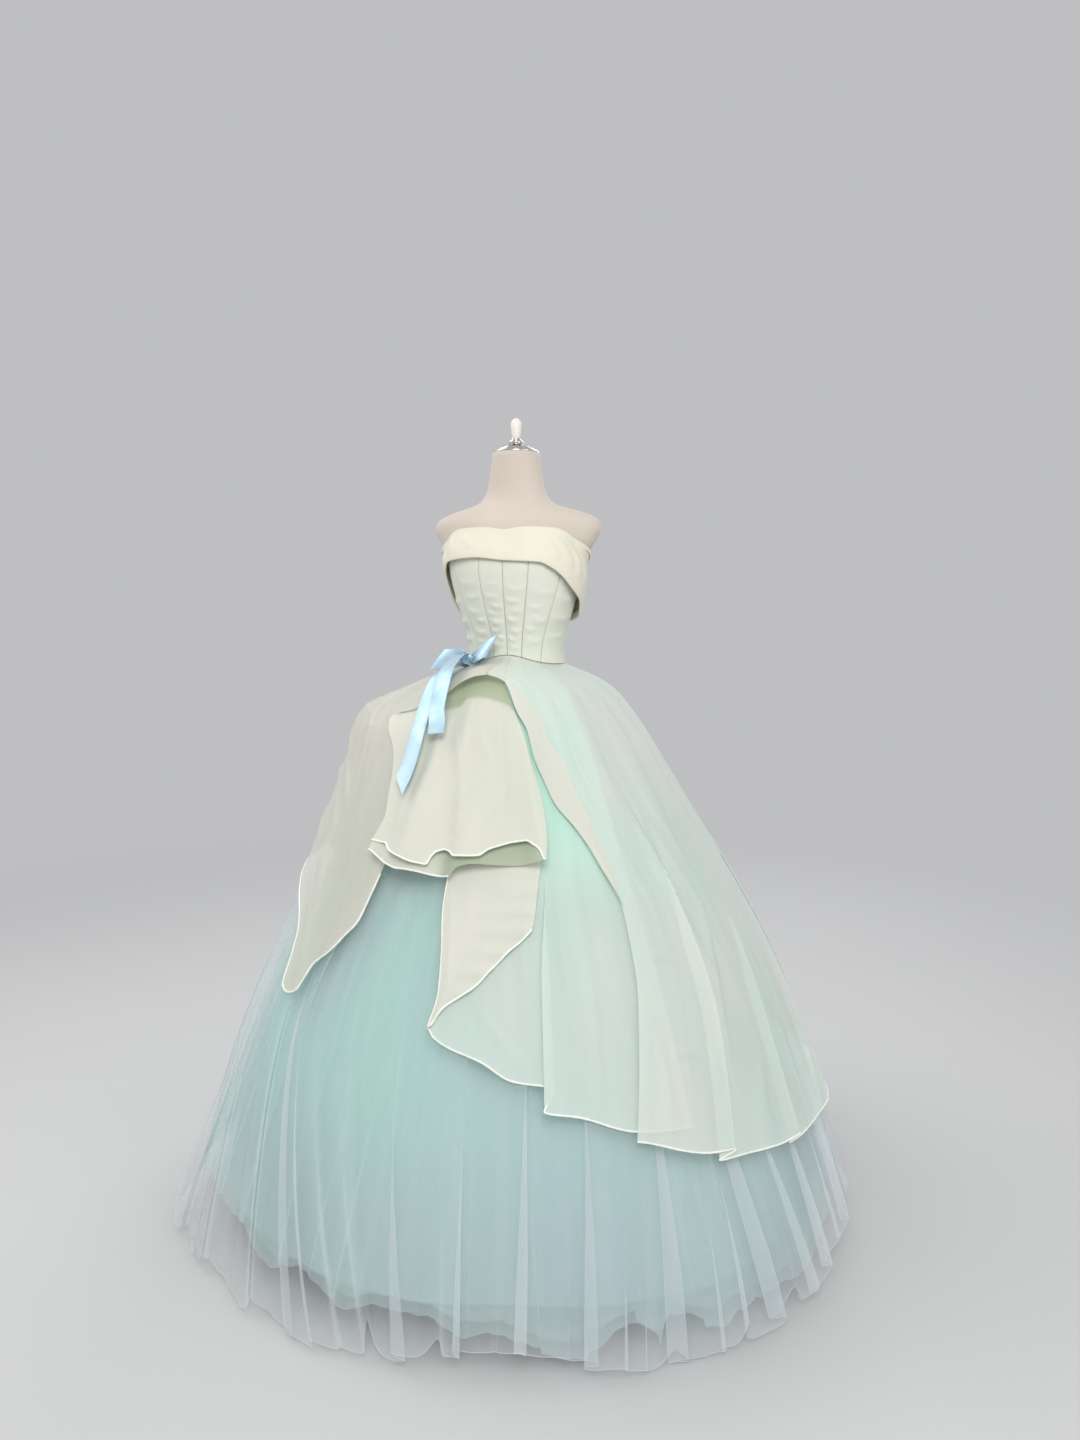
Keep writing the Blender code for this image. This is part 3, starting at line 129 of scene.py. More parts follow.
bodiceCut = {
    # height, reach at the front, side and back
    "rows": [
        (1.179, 0.0845, 0.107, 0.084), (1.205, 0.083, 0.105, 0.082),
        (1.24, 0.088, 0.1085, 0.0845), (1.27, 0.097, 0.1165, 0.089),
        (1.31, 0.109, 0.129, 0.095), (1.35, 0.119, 0.1395, 0.101),
        (1.38, 0.122, 0.146, 0.104), (1.41, 0.119, 0.149, 0.106),
        (1.44, 0.111, 0.15, 0.106), (1.47, 0.101, 0.148, 0.103),
    ],
    "neckline": [(0.0, 1.46), (25.0, 1.466), (50.0, 1.464), (76.0, 1.434), (104.0, 1.402),
                 (140.0, 1.39), (180.0, 1.388)],
    # seam angle at the waist and at the top edge
    "seams": [(0.0, 0.0), (21.0, 27.0), (47.0, 61.0), (92.0, 95.0), (134.0, 138.0), (180.0, 180.0)],
    "panels": ["CentreFront", "Front", "SideFront", "SideBack", "Back"],
    "nodes": {"CentreFront": "bodice_centre_front", "Front": "bodice_front", "SideFront": "bodice_side_front",
              "SideBack": "bodice_side_back", "Back": "bodice_back"},
    # cut size of each panel: width, length, area
    "flat": {"CentreFront": (0.056, 0.28, 0.0125), "Front": (0.082, 0.286, 0.0178),
             "SideFront": (0.107, 0.28, 0.0229), "SideBack": (0.113, 0.238, 0.0199),
             "Back": (0.085, 0.214, 0.016)},
    "waist": 1.179,
    "waistRise": 0.02,
    "seamGap": 0.0006,
    "waistGap": 0.0012,
    "wall": 0.0014,
    "columns": 34,
    "rowsDown": 100,
    "seamDip": 0.0012,
    "seamDipWidth": 0.0013,
    "stitchInset": 0.0032,
    "stitchDip": 0.00035,
    "stitchDipWidth": 0.0012,
    "stitchPitch": 0.003,
    "stitchFrom": 0.045,
    "stitchHalf": (0.00028, 0.00022, 0.00105),
    "seamMark": 0.001,
    "edgeCrowd": 0.13,
    "creaseGain": 1.9,
    "creaseEdge": 0.007,
    # soft drag lines: angle and height at the start, middle and end, width, lift, far side share
    "creases": [
        (-19.0, 1.352, -11.0, 1.349, -3.0, 1.356, 0.004, 0.0006, 1.8),
        (-22.0, 1.331, -14.0, 1.322, -6.0, 1.327, 0.0048, 0.001, 1.5),
        (-16.0, 1.312, -9.0, 1.303, -1.5, 1.31, 0.0042, 0.0014, 1.7),
        (-21.5, 1.293, -15.0, 1.287, -9.0, 1.29, 0.0036, 0.0011, 1.4),
        (-18.0, 1.278, -10.0, 1.268, -2.0, 1.274, 0.0046, 0.0018, 1.6),
        (-21.0, 1.256, -14.0, 1.251, -5.0, 1.259, 0.0038, 0.0013, 1.4),
        (-12.0, 1.243, -7.0, 1.236, -1.5, 1.24, 0.0034, 0.0013, 1.8),
        (-20.0, 1.228, -13.0, 1.221, -5.0, 1.226, 0.004, 0.001, 1.5),
        (3.0, 1.348, 13.0, 1.338, 24.0, 1.346, 0.005, 0.0008, 1.7),
        (1.5, 1.321, 9.0, 1.314, 17.0, 1.318, 0.004, 0.0013, 1.5),
        (8.0, 1.3, 15.0, 1.293, 23.0, 1.301, 0.0044, 0.0011, 1.8),
        (1.5, 1.283, 8.0, 1.273, 16.0, 1.278, 0.0046, 0.0017, 1.5),
        (6.0, 1.259, 13.0, 1.25, 21.0, 1.256, 0.0042, 0.0015, 1.6),
        (1.5, 1.241, 7.0, 1.233, 13.0, 1.236, 0.0034, 0.0011, 1.5),
        (4.0, 1.222, 12.0, 1.215, 20.0, 1.221, 0.0038, 0.0009, 1.5),
        (-52.0, 1.362, -42.0, 1.352, -31.0, 1.357, 0.0056, 0.0007, 1.6),
        (-45.0, 1.327, -36.0, 1.322, -26.0, 1.331, 0.0046, 0.0012, 1.5),
        (-47.0, 1.301, -40.0, 1.291, -30.0, 1.293, 0.0048, 0.0011, 1.7),
        (-38.0, 1.279, -31.0, 1.272, -24.0, 1.279, 0.004, 0.0015, 1.4),
        (-45.0, 1.259, -36.0, 1.247, -25.0, 1.253, 0.0048, 0.0016, 1.6),
        (-43.0, 1.232, -37.0, 1.226, -29.0, 1.229, 0.0036, 0.0009, 1.5),
        (30.0, 1.344, 41.0, 1.331, 54.0, 1.338, 0.0056, 0.0009, 1.8),
        (25.0, 1.308, 33.0, 1.3, 43.0, 1.303, 0.0046, 0.0011, 1.5),
        (33.0, 1.284, 42.0, 1.272, 50.0, 1.279, 0.0052, 0.0014, 1.5),
        (24.0, 1.262, 31.0, 1.254, 39.0, 1.256, 0.004, 0.0013, 1.6),
        (27.0, 1.238, 36.0, 1.228, 46.0, 1.235, 0.0046, 0.0012, 1.5),
        (55.0, 1.33, 68.0, 1.318, 82.0, 1.326, 0.006, 0.0014, 1.4),
        (54.0, 1.288, 68.0, 1.276, 84.0, 1.284, 0.006, 0.0016, 1.4),
        (52.0, 1.246, 66.0, 1.238, 82.0, 1.247, 0.0055, 0.0015, 1.4),
        (-84.0, 1.322, -70.0, 1.312, -56.0, 1.32, 0.006, 0.0014, 1.4),
        (-84.0, 1.276, -68.0, 1.268, -54.0, 1.276, 0.006, 0.0016, 1.4),
        (-82.0, 1.24, -66.0, 1.232, -52.0, 1.24, 0.0055, 0.0014, 1.4),
        (104.0, 1.33, 118.0, 1.322, 132.0, 1.33, 0.006, 0.0014, 1.4),
        (104.0, 1.268, 118.0, 1.26, 133.0, 1.268, 0.006, 0.0016, 1.4),
        (142.0, 1.3, 158.0, 1.292, 174.0, 1.3, 0.006, 0.0015, 1.4),
        (142.0, 1.238, 158.0, 1.231, 174.0, 1.24, 0.0055, 0.0015, 1.4),
        (-132.0, 1.31, -118.0, 1.302, -104.0, 1.31, 0.006, 0.0014, 1.4),
        (-132.0, 1.25, -118.0, 1.243, -104.0, 1.252, 0.006, 0.0016, 1.4),
        (-174.0, 1.33, -158.0, 1.322, -142.0, 1.33, 0.006, 0.0014, 1.4),
        (-174.0, 1.262, -158.0, 1.255, -142.0, 1.264, 0.006, 0.0015, 1.4),
    ],
}

formCut = {
    # height, front, side, back, roundness, shoulder cap
    "rows": [
        (0.9, 0.1, 0.15, 0.112, 2.2, 0.0), (0.96, 0.108, 0.163, 0.122, 2.2, 0.0),
        (1.02, 0.106, 0.16, 0.122, 2.2, 0.0), (1.08, 0.096, 0.142, 0.108, 2.2, 0.0),
        (1.13, 0.083, 0.116, 0.088, 2.2, 0.0), (1.168, 0.074, 0.097, 0.0735, 2.1, 0.0),
        (1.205, 0.076, 0.0985, 0.075, 2.1, 0.0), (1.24, 0.083, 0.1035, 0.0795, 2.1, 0.0),
        (1.27, 0.093, 0.1125, 0.085, 2.1, 0.0), (1.31, 0.105, 0.125, 0.091, 2.1, 0.0),
        (1.35, 0.115, 0.1355, 0.097, 2.1, 0.0), (1.38, 0.118, 0.142, 0.1, 2.1, 0.0),
        (1.41, 0.115, 0.1445, 0.101, 2.1, 0.009), (1.43, 0.1085, 0.1445, 0.1, 2.1, 0.022),
        (1.45, 0.1, 0.144, 0.0975, 2.1, 0.034), (1.47, 0.092, 0.144, 0.095, 2.1, 0.042),
        (1.484, 0.086, 0.143, 0.091, 2.1, 0.04), (1.494, 0.08, 0.14, 0.086, 2.0, 0.032),
        (1.503, 0.074, 0.132, 0.08, 2.0, 0.02), (1.511, 0.069, 0.118, 0.074, 2.0, 0.008),
        (1.52, 0.064, 0.092, 0.069, 2.0, 0.001), (1.53, 0.06, 0.076, 0.065, 2.0, 0.0),
        (1.55, 0.056, 0.064, 0.06, 2.0, 0.0), (1.59, 0.053, 0.056, 0.056, 2.0, 0.0),
        (1.632, 0.051, 0.051, 0.051, 2.0, 0.0),
    ],
    "shoulderAngle": 94.0,
    "shoulderWidth": 17.0,
    "clearance": 0.004,
    "columns": 144,
    "step": 0.009,
}

bodiceFront, bodiceSide, bodiceBack = (softCurve(bodiceCut["rows"], i) for i in (1, 2, 3))
formFront, formSide, formBack, formRound, formShoulder = (softCurve(formCut["rows"], i) for i in range(1, 6))
neckline = softCurve(bodiceCut["neckline"])


def ovalReach(angle, front, side, back):
    ahead = np.cos(np.radians(angle))
    return mix(side, np.where(ahead > 0.0, front, back), ahead * ahead)


def formReach(angle, height):
    turn = np.radians(angle)
    middle = np.where(np.cos(turn) > 0.0, formFront(height), formBack(height))
    power = formRound(height)
    ahead = np.abs(np.cos(turn)) / middle
    across = np.abs(np.sin(turn)) / formSide(height)
    cap = bell(np.abs(wrapped(angle)), formCut["shoulderAngle"], formCut["shoulderWidth"])
    return (ahead ** power + across ** power) ** (-1.0 / power) + formShoulder(height) * cap


def waistHeight(angle):
    ahead = np.maximum(np.cos(np.radians(angle)), 0.0)
    return bodiceCut["waist"] + bodiceCut["waistRise"] * ahead ** 4


def bodiceReach(angle, height):
    cut = ovalReach(angle, bodiceFront(height), bodiceSide(height), bodiceBack(height))
    return np.maximum(cut, formReach(angle, height) + formCut["clearance"])


# Skirt

skirtCut = {
    # drop below the waist, reach at the front, side and back
    "rows": [
        (0.0, 0.0836, 0.1062, 0.0832), (0.015, 0.125, 0.14, 0.128), (0.04, 0.17, 0.183, 0.174),
        (0.075, 0.208, 0.219, 0.214), (0.115, 0.24, 0.25, 0.247), (0.165, 0.272, 0.284, 0.284),
        (0.245, 0.315, 0.33, 0.33), (0.345, 0.368, 0.386, 0.388), (0.465, 0.432, 0.456, 0.458),
        (0.615, 0.505, 0.538, 0.541), (0.765, 0.565, 0.604, 0.611), (0.915, 0.618, 0.66, 0.671),
        (1.045, 0.66, 0.702, 0.716), (1.179, 0.697, 0.742, 0.757),
    ],
    # where the hem sweeps out or in: angle, width, reach
    "kicks": [(-76.0, 30.0, -0.02), (57.0, 24.0, 0.016)],
    "kickStart": 0.8,
    "kickSpan": 0.34,
    "stackPitch": 0.0014,
}
skirtFront, skirtSide, skirtBack = (softCurve(skirtCut["rows"], i) for i in (1, 2, 3))


def dropAt(angle, height):
    top = waistHeight(angle)
    return (top - height) * bodiceCut["waist"] / top


def skirtReach(angle, height):
    drop = dropAt(angle, height)
    reach = ovalReach(angle, skirtFront(drop), skirtSide(drop), skirtBack(drop))
    for centre, width, kick in skirtCut["kicks"]:
        sweep = ease(drop, skirtCut["kickStart"], skirtCut["kickSpan"])
        reach = reach + sweep * kick * bell(wrapped(angle), centre, width)
    return reach


def skirtNormal(angle, height):
    high = np.minimum(height + 0.003, waistHeight(angle))
    low = height - 0.003
    down = around(angle, low, skirtReach(angle, low)) - around(angle, high, skirtReach(angle, high))
    left = around(angle - 1.0, height, skirtReach(angle - 1.0, height))
    right = around(angle + 1.0, height, skirtReach(angle + 1.0, height))
    return unit(np.cross(down, right - left))


def onSkirt(angle, height, stand):
    angle, height, stand = np.broadcast_arrays(angle, height, stand)
    place = around(angle, height, skirtReach(angle, height))
    return place + skirtNormal(angle, height) * stand[..., None]


overCut = {
    "stand": 0.012,
    "standLow": 0.006,
    "gatherAtWaist": 0.0005,
    "gatherAtHem": 0.0105,
    "gatherCleared": 0.6,
    "pressAngle": -22.0,
    "pressWidth": 14.0,
    "pressShare": 0.35,
    "hip": [(0.0, 0.0), (0.03, 0.004), (0.07, 0.02), (0.12, 0.056), (0.16, 0.07), (0.21, 0.055),
            (0.29, 0.034), (0.38, 0.018), (0.48, 0.004), (0.6, 0.0)],
    "hipAngle": -80.0,
    "hipWidth": 36.0,
    "hipWidthBehind": 50.0,
    "archAngle": -6.0,
    "archWidth": 24.0,
    "archLift": 0.022,
    "leftSeam": 100.0,
    "rightSeam": -95.0,
    "seamGap": 0.0006,
    "hemShare": 1.6,
    "riseFade": 0.036,
    "lap": 0.0018,
}
hipLift = softCurve(overCut["hip"])


def clearedGathers(drop):
    height = mix(overCut["gatherAtWaist"], overCut["gatherAtHem"], ease(drop, 0.3, 0.75))
    return height * overCut["gatherCleared"] * ease(drop, 0.0, 0.3)


def overStand(angle, height):
    # how far the organza stands off the tulle
    cut = overCut
    drop, near = dropAt(angle, height), wrapped(angle)
    stand = cut["stand"] * ease(drop, 0.0, 0.08) + cut["standLow"] * ease(drop, 0.2, 0.3)
    stand = stand + clearedGathers(drop)
    press = bell(near, cut["pressAngle"], cut["pressWidth"]) * ease(drop, 0.16, 0.08)
    stand = stand * (1.0 - cut["pressShare"] * press)
    arch = ease(drop, 0.012, 0.035) * (1.0 - ease(drop, 0.07, 0.1))
    stand = stand + cut["archLift"] * arch * bell(near, cut["archAngle"], cut["archWidth"])
    behind = np.where(angle < 0.0, angle, angle - 360.0)
    ahead = bell(near, cut["hipAngle"], cut["hipWidth"])
    after = bell(behind, cut["hipAngle"], cut["hipWidthBehind"])
    return stand + hipLift(drop) * np.where(near > cut["hipAngle"], ahead, after)


arcShare = np.linspace(0.0, 1.0, 41)


def arc(first, middle, last):
    # values along a bent line that meets the middle one halfway
    t = arcShare
    pulled = 2 * middle - 0.5 * first - 0.5 * last
    return (1 - t) ** 2 * first + 2 * t * (1 - t) * pulled + t * t * last


def creaseLift(angle, height, rows, reach=skirtReach):
    # Raised folds: each row holds the angle and height at the start, middle and end of a fold,
    # its width, its lift and how many times wider it is on its far side.
    lift = np.zeros(np.broadcast(angle, height).shape)
    angle, height = np.broadcast_arrays(angle, height)
    for a0, h0, a1, h1, a2, h2, width, rise, far in rows:
        scale = np.radians(1.0) * float(reach(np.array(a1), np.array(h1)))
        lineX, lineY = scale * arc(a0, a1, a2), arc(h0, h1, h2)
        alongX, alongY = np.gradient(lineX), np.gradient(lineY)
        length = np.hypot(alongX, alongY)
        alongX, alongY = alongX / length, alongY / length
        x, y = angle * scale, height
        border = 3.2 * width * max(1.0, far)
        close = (x > lineX.min() - border) & (x < lineX.max() + border)
        close &= (y > lineY.min() - border) & (y < lineY.max() + border)
        if not close.any():
            continue
        nearest = np.argmin((x[close][:, None] - lineX) ** 2 + (y[close][:, None] - lineY) ** 2, axis=1)
        gapX, gapY = x[close] - lineX[nearest], y[close] - lineY[nearest]
        off = gapX * -alongY[nearest] + gapY * alongX[nearest]
        past = gapX * alongX[nearest] + gapY * alongY[nearest]
        ends = np.sin(np.pi * arcShare[nearest]) ** 0.7 * bell(past, 0.0, width)
        lift[close] += rise * ends * bell(off, 0.0, np.where(off > 0.0, width, width * far))
    return lift


# Making sheets

def deselectAll():
    if bpy.context.object and bpy.context.object.mode != "OBJECT":
        bpy.ops.object.mode_set(mode="OBJECT")
    bpy.ops.object.select_all(action="DESELECT")


def choose(piece):
    deselectAll()
    piece.select_set(True)
    bpy.context.view_layer.objects.active = piece


def applyModifier(piece, kind, **settings):
    choose(piece)
    modifier = piece.modifiers.new("shape", kind)
    for name, value in settings.items():
        setattr(modifier, name, value)
    bpy.ops.object.modifier_apply(modifier=modifier.name)


def cleaned(piece, merge=False, facesOut=True):
    choose(piece)
    bpy.ops.object.mode_set(mode="EDIT")
    bpy.ops.mesh.select_all(action="SELECT")
    if merge:
        bpy.ops.mesh.remove_doubles(threshold=0.00001)
    if facesOut:
        bpy.ops.mesh.normals_make_consistent(inside=False)
    bpy.ops.object.mode_set(mode="OBJECT")
    bpy.ops.object.shade_smooth()


def packed(values):
    return np.asarray(values).astype(np.float32).ravel()


def clothSheet(name, points, closed=False, wall=0.0, mark=None):
    # A grid laid on rows of points that run down, each row towards a growing angle. Its UV map
    # is in metres along and down the cloth. Mark, 0 to 1, is read by its material.
    rows, columns = points.shape[:2]
    deselectAll()
    bpy.ops.mesh.primitive_grid_add(x_subdivisions=columns - 1, y_subdivisions=rows - 1, size=1.0)
    piece = bpy.context.object
    piece.name = name
    mesh = piece.data
    mesh.vertices.foreach_set("co", packed(points[::-1]))
    across, fall = np.meshgrid(walked(points.swapaxes(0, 1)).mean(1), walked(points).mean(1))
    spots = np.stack([across, -fall], axis=-1)[::-1].reshape(-1, 2)
    corner = np.zeros(len(mesh.loops), np.int32)
    mesh.loops.foreach_get("vertex_index", corner)
    mesh.uv_layers[0].data.foreach_set("uv", packed(spots[corner]))
    if mark is not None:
        marks = mesh.attributes.new("mark", "FLOAT", "POINT")
        marks.data.foreach_set("value", packed(np.broadcast_to(mark, (rows, columns))[::-1]))
    mesh.update()
    if closed:
        cleaned(piece, merge=True, facesOut=False)
    if wall > 0.0:
        applyModifier(piece, "SOLIDIFY", thickness=wall, offset=0.0, use_even_offset=False)
    choose(piece)
    bpy.ops.object.shade_smooth_by_angle(angle=math.radians(50.0))
    return piece


def cordOver(name, points, radius, sides=2, roll=0.0):
    # a thin round bead, such as a rolled hem or a thread, along a row of points
    curve = bpy.data.curves.new(name, "CURVE")
    curve.dimensions = "3D"
    curve.bevel_depth = radius
    curve.bevel_resolution = sides
    curve.use_fill_caps = True
    spline = curve.splines.new("POLY")
    spline.points.add(len(points) - 1)
    spline.points.foreach_set("co", packed(np.hstack([points, np.ones((len(points), 1))])))
    thickness = 1.0 + roll * wander(np.linspace(0.0, 0.9 * len(points) ** 0.5 * 6.0, len(points)), 3)
    spline.points.foreach_set("radius", packed(thickness))
    choose(linked(name, curve))
    bpy.ops.object.convert(target="MESH")
    piece = bpy.context.object
    cleaned(piece, merge=True)
    return piece


def linked(name, data):
    made = bpy.data.objects.new(name, data)
    bpy.context.scene.collection.objects.link(made)
    return made


def joined(name, pieces):
    choose(pieces[0])
    for piece in pieces[1:]:
        piece.select_set(True)
    bpy.ops.object.join()
    bpy.context.object.name = name
    return bpy.context.object


def settle(piece, finish, nodes=()):
    piece.data.materials.clear()
    piece.data.materials.append(finish)
    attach(piece, "root")
    if nodes:
        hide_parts(*nodes)


# Materials

class Wire:
    # an output that sums can be written with
    def __init__(self, finish, socket):
        self.finish = finish
        self.socket = socket

    def maths(self, operation, first, second=0.0):
        return self.finish.node("ShaderNodeMath", {"operation": operation}, {0: first, 1: second})

    def __add__(self, other):
        return self.maths("ADD", self, other)

    def __radd__(self, other):
        return self.maths("ADD", other, self)

    def __sub__(self, other):
        return self.maths("SUBTRACT", self, other)

    def __rsub__(self, other):
        return self.maths("SUBTRACT", other, self)

    def __mul__(self, other):
        return self.maths("MULTIPLY", self, other)

    def __rmul__(self, other):
        return self.maths("MULTIPLY", other, self)

    def sine(self):
        return self.maths("SINE", self)

    def eased(self, start, end):
        settings = {"interpolation_type": "SMOOTHSTEP"}
        return self.finish.node("ShaderNodeMapRange", settings, {0: self, 1: start, 2: end, 3: 0.0, 4: 1.0})


class Finish:
    def __init__(self, name, surface):
        self.material = bpy.data.materials.new(name)
        self.material.use_nodes = True
        self.tree = self.material.node_tree
        self.shader = self.tree.nodes["Principled BSDF"]
        for socket, value in surface.items():
            self.shader.inputs[socket].default_value = value

    def put(self, socket, value):
        if isinstance(value, Wire):
            self.tree.links.new(value.socket, socket)
        else:
            socket.default_value = value

    def node(self, kind, settings=None, inputs=None, output=0):
        made = self.tree.nodes.new(kind)
        for name, value in (settings or {}).items():
            setattr(made, name, value)
        for name, value in (inputs or {}).items():
            self.put(made.inputs[name], value)
        return Wire(self, made.outputs[output])

    def feed(self, name, value):
        self.put(self.shader.inputs[name], value)

    def clothPlace(self, scaleAlong=1.0, scaleDown=1.0):
        spot = self.node("ShaderNodeTexCoord", output="UV")
        return self.node("ShaderNodeMapping", None, {"Vector": spot, "Scale": (scaleAlong, scaleDown, 1.0)})

    def objectPlace(self, scale=(1.0, 1.0, 1.0)):
        spot = self.node("ShaderNodeTexCoord", output="Object")
        return self.node("ShaderNodeMapping", None, {"Vector": spot, "Scale": scale})

    def level(self):
        # height above the floor, in metres
        return self.node("ShaderNodeSeparateXYZ", None, {0: self.objectPlace()}, 2)

    def attribute(self, name):
        return self.node("ShaderNodeAttribute", {"attribute_name": name}, output=2)

    def noise(self, place, scale, detail=3.0):
        return self.node("ShaderNodeTexNoise", None, {"Vector": place, "Scale": scale, "Detail": detail})

    def blend(self, share, first, second):
        return self.node("ShaderNodeMix", {"data_type": "RGBA"}, {0: share, 6: first, 7: second}, 2)

    def bump(self, height, strength, distance, under=None):
        inputs = {"Height": height, "Strength": strength, "Distance": distance}
        if under:
            inputs["Normal"] = under
        return self.node("ShaderNodeBump", None, inputs)

    def slub(self, along=45.0, down=900.0):
        # thick places in the thread, drawn out across the cloth
        return self.noise(self.clothPlace(along, down), 1.0, 2.0)

    def weave(self, pitch):
        # over and under threads, from -1 to 1
        spot = self.clothPlace(math.tau / pitch, math.tau / pitch)
        across, down = (self.node("ShaderNodeSeparateXYZ", None, {0: spot}, i) for i in (0, 1))
        return across.sine() * down.sine()


def colour(red, green, blue):
    # the colour as a screen shows it, 0 to 255, made linear
    return tuple((value / 255.0) ** 2.2 for value in (red, green, blue)) + (1.0,)


# metres from thread to thread
threadPitch = {"satin": 0.0011, "organza": 0.001, "tulle": 0.0016, "ribbon": 0.0009}


def satinFinish(name, face, shade, rough, sheen, seam=None):
    finish = Finish(name, {"Sheen Weight": sheen, "Sheen Roughness": 0.4, "Specular IOR Level": 0.45})
    mottle = finish.noise(finish.objectPlace(), 7.0)
    slub = finish.slub()
    tone = finish.blend(mottle.eased(0.35, 0.7), face, shade)
    if seam:
        tone = finish.blend(finish.attribute("mark"), tone, seam)
    finish.feed("Base Color", tone)
    finish.feed("Roughness", rough + 0.16 * slub)
    threads = finish.bump(finish.weave(threadPitch["satin"]) + 0.8 * slub, 0.1, 0.0003)
    finish.feed("Normal", finish.bump(finish.noise(finish.objectPlace(), 26.0, 4.0), 0.1, 0.0015, threads))
    return finish.material


def sheerFinish(name, face, shade, alpha, spread, rough=0.62, sheen=0.35, cloth="organza", marked=0.0,
                inside=None, topCover=0.0):
    # see-through cloth: alpha is how much of the light one ply stops, spread how unevenly.
    # Where the sheet carries a mark, marked is added to that and inside is the colour it blends in: on
    # the back panels the hip panel's tone, which is partly painted shade; painted shade on the folded and
    # doubled organza; and on the under panel a mint that is partly the underskirt showing through and
    # partly painted light. TopCover is added high on the skirt, where the layers below lie close.
    finish = Finish(name, {"Sheen Weight": sheen, "Sheen Roughness": 0.45, "Specular IOR Level": 0.25})
    mottle = finish.noise(finish.objectPlace((3.0, 3.0, 0.7)), 1.5)
    streak = finish.noise(finish.clothPlace(38.0, 2.0), 1.0, 3.0)
    tone = finish.blend(mottle.eased(0.3, 0.72), face, shade)
    # the mark blends in inside, which carries the painted shade and painted light listed above
    if inside:
        tone = finish.blend(finish.attribute("mark"), tone, inside)
    finish.feed("Base Color", tone)
    finish.feed("Roughness", rough + 0.12 * streak)
    net = finish.weave(threadPitch[cloth])
    cover = alpha + spread * (streak - 0.5) + 0.05 * net
    if marked > 0.0:
        cover = cover + marked * finish.attribute("mark")
    if topCover > 0.0:
        cover = cover + topCover * finish.level().eased(0.7, 0.88)
    finish.feed("Alpha", cover)
    finish.feed("Normal", finish.bump(net + 0.7 * streak, 0.08, 0.0003))
    return finish.material


finishes = {
    "bodice": satinFinish("bodice satin", colour(223, 225, 211), colour(214, 218, 203), 0.44, 0.15,
                          seam=colour(190, 197, 178)),
    "cuff": satinFinish("cuff organza over satin", colour(228, 224, 205), colour(221, 218, 198), 0.5, 0.2),
    "organza": sheerFinish("organza", colour(238, 238, 229), colour(222, 239, 229), 0.66, 0.14),
    # inside is a mint that is partly the underskirt showing through and partly painted light on the under
    # panel's upper part
    "organzaMint": sheerFinish("under organza", colour(236, 239, 231), colour(222, 239, 229), 0.66, 0.12,
                               inside=colour(182, 231, 212), topCover=0.24),
    # inside is the hip panel's tone, partly painted shade, blended in where the right back nears the hip
    "organzaBack": sheerFinish("back organza", colour(238, 238, 229), colour(222, 239, 229), 0.66, 0.14,
                               marked=0.12, inside=colour(215, 214, 201)),
    # the hip panel's darker tone is partly a denser ply and partly painted shade, as if it lay on the side
    # away from the light
    "organzaWarmShaded": sheerFinish("hip organza", colour(219, 216, 204), colour(210, 211, 197), 0.78, 0.12),
    # inside is painted shade: the dark green of the flounce's underfold, coloured as if it lay in its own
    # pocket's shadow
    "organzaFold": sheerFinish("folded organza", colour(230, 228, 216), colour(221, 223, 210), 0.84, 0.08,
                               inside=colour(178, 190, 163)),
    # inside is painted shade: the olive of the flounce's top under the arch, coloured as if the arch shadows
    # it
    "organzaDouble": sheerFinish("doubled organza", colour(220, 219, 206), colour(213, 216, 201), 0.92, 0.06,
                                 inside=colour(182, 190, 160)),
    "tulle": sheerFinish("outer tulle", colour(234, 240, 243), colour(222, 234, 237), 0.23, 0.2, 0.8, 0.4,
                         "tulle", 0.26),
    "tulleDeep": sheerFinish("deeper tulle", colour(200, 232, 225), colour(206, 226, 228), 0.36, 0.12,
                             0.8, 0.3, "tulle", 0.4),
    "tulleEdge": sheerFinish("tulle edge", colour(232, 236, 238), colour(222, 228, 232), 0.8, 0.05),
    "bead": satinFinish("rolled hem", colour(250, 250, 242), colour(240, 242, 232), 0.45, 0.3),
    "thread": satinFinish("sewing thread", colour(214, 216, 200), colour(206, 208, 194), 0.5, 0.1),
}


def underskirtFinish():
    # mint that pales to a grey lilac towards its hem
    finish = Finish("underskirt satin", {"Sheen Weight": 0.25, "Sheen Roughness": 0.4,
                                         "Specular IOR Level": 0.35})
    mottle = finish.noise(finish.objectPlace((2.0, 2.0, 0.7)), 2.4)
    mint = finish.blend(mottle.eased(0.35, 0.7), colour(138, 232, 213), colour(158, 230, 218))
    lilac = colour(150, 172, 180)
    finish.feed("Base Color", finish.blend((finish.level() + 0.1 * mottle).eased(0.12, 0.52), lilac, mint))
    slub = finish.slub()
    finish.feed("Roughness", 0.5 + 0.16 * slub)
    finish.feed("Normal", finish.bump(finish.weave(threadPitch["satin"]) + 0.8 * slub, 0.1, 0.0003))
    return finish.material


def ribbonFinish():
    finish = Finish("ribbon satin", {"Sheen Weight": 0.2, "Specular IOR Level": 0.8, "Anisotropic": 0.4,
                                     "Metallic": 0.35})
    slub = finish.slub(60.0, 1400.0)
    mottle = finish.noise(finish.objectPlace(), 22.0)
    # the pale patches are painted highlights of the glossy satin
    face, paintedGloss = colour(161, 199, 221), colour(193, 218, 232)
    finish.feed("Base Color", finish.blend(mottle.eased(0.3, 0.7), face, paintedGloss))
    finish.feed("Roughness", 0.3 + 0.12 * slub)
    finish.feed("Normal", finish.bump(finish.weave(threadPitch["ribbon"]) + slub, 0.1, 0.0003))
    return finish.material


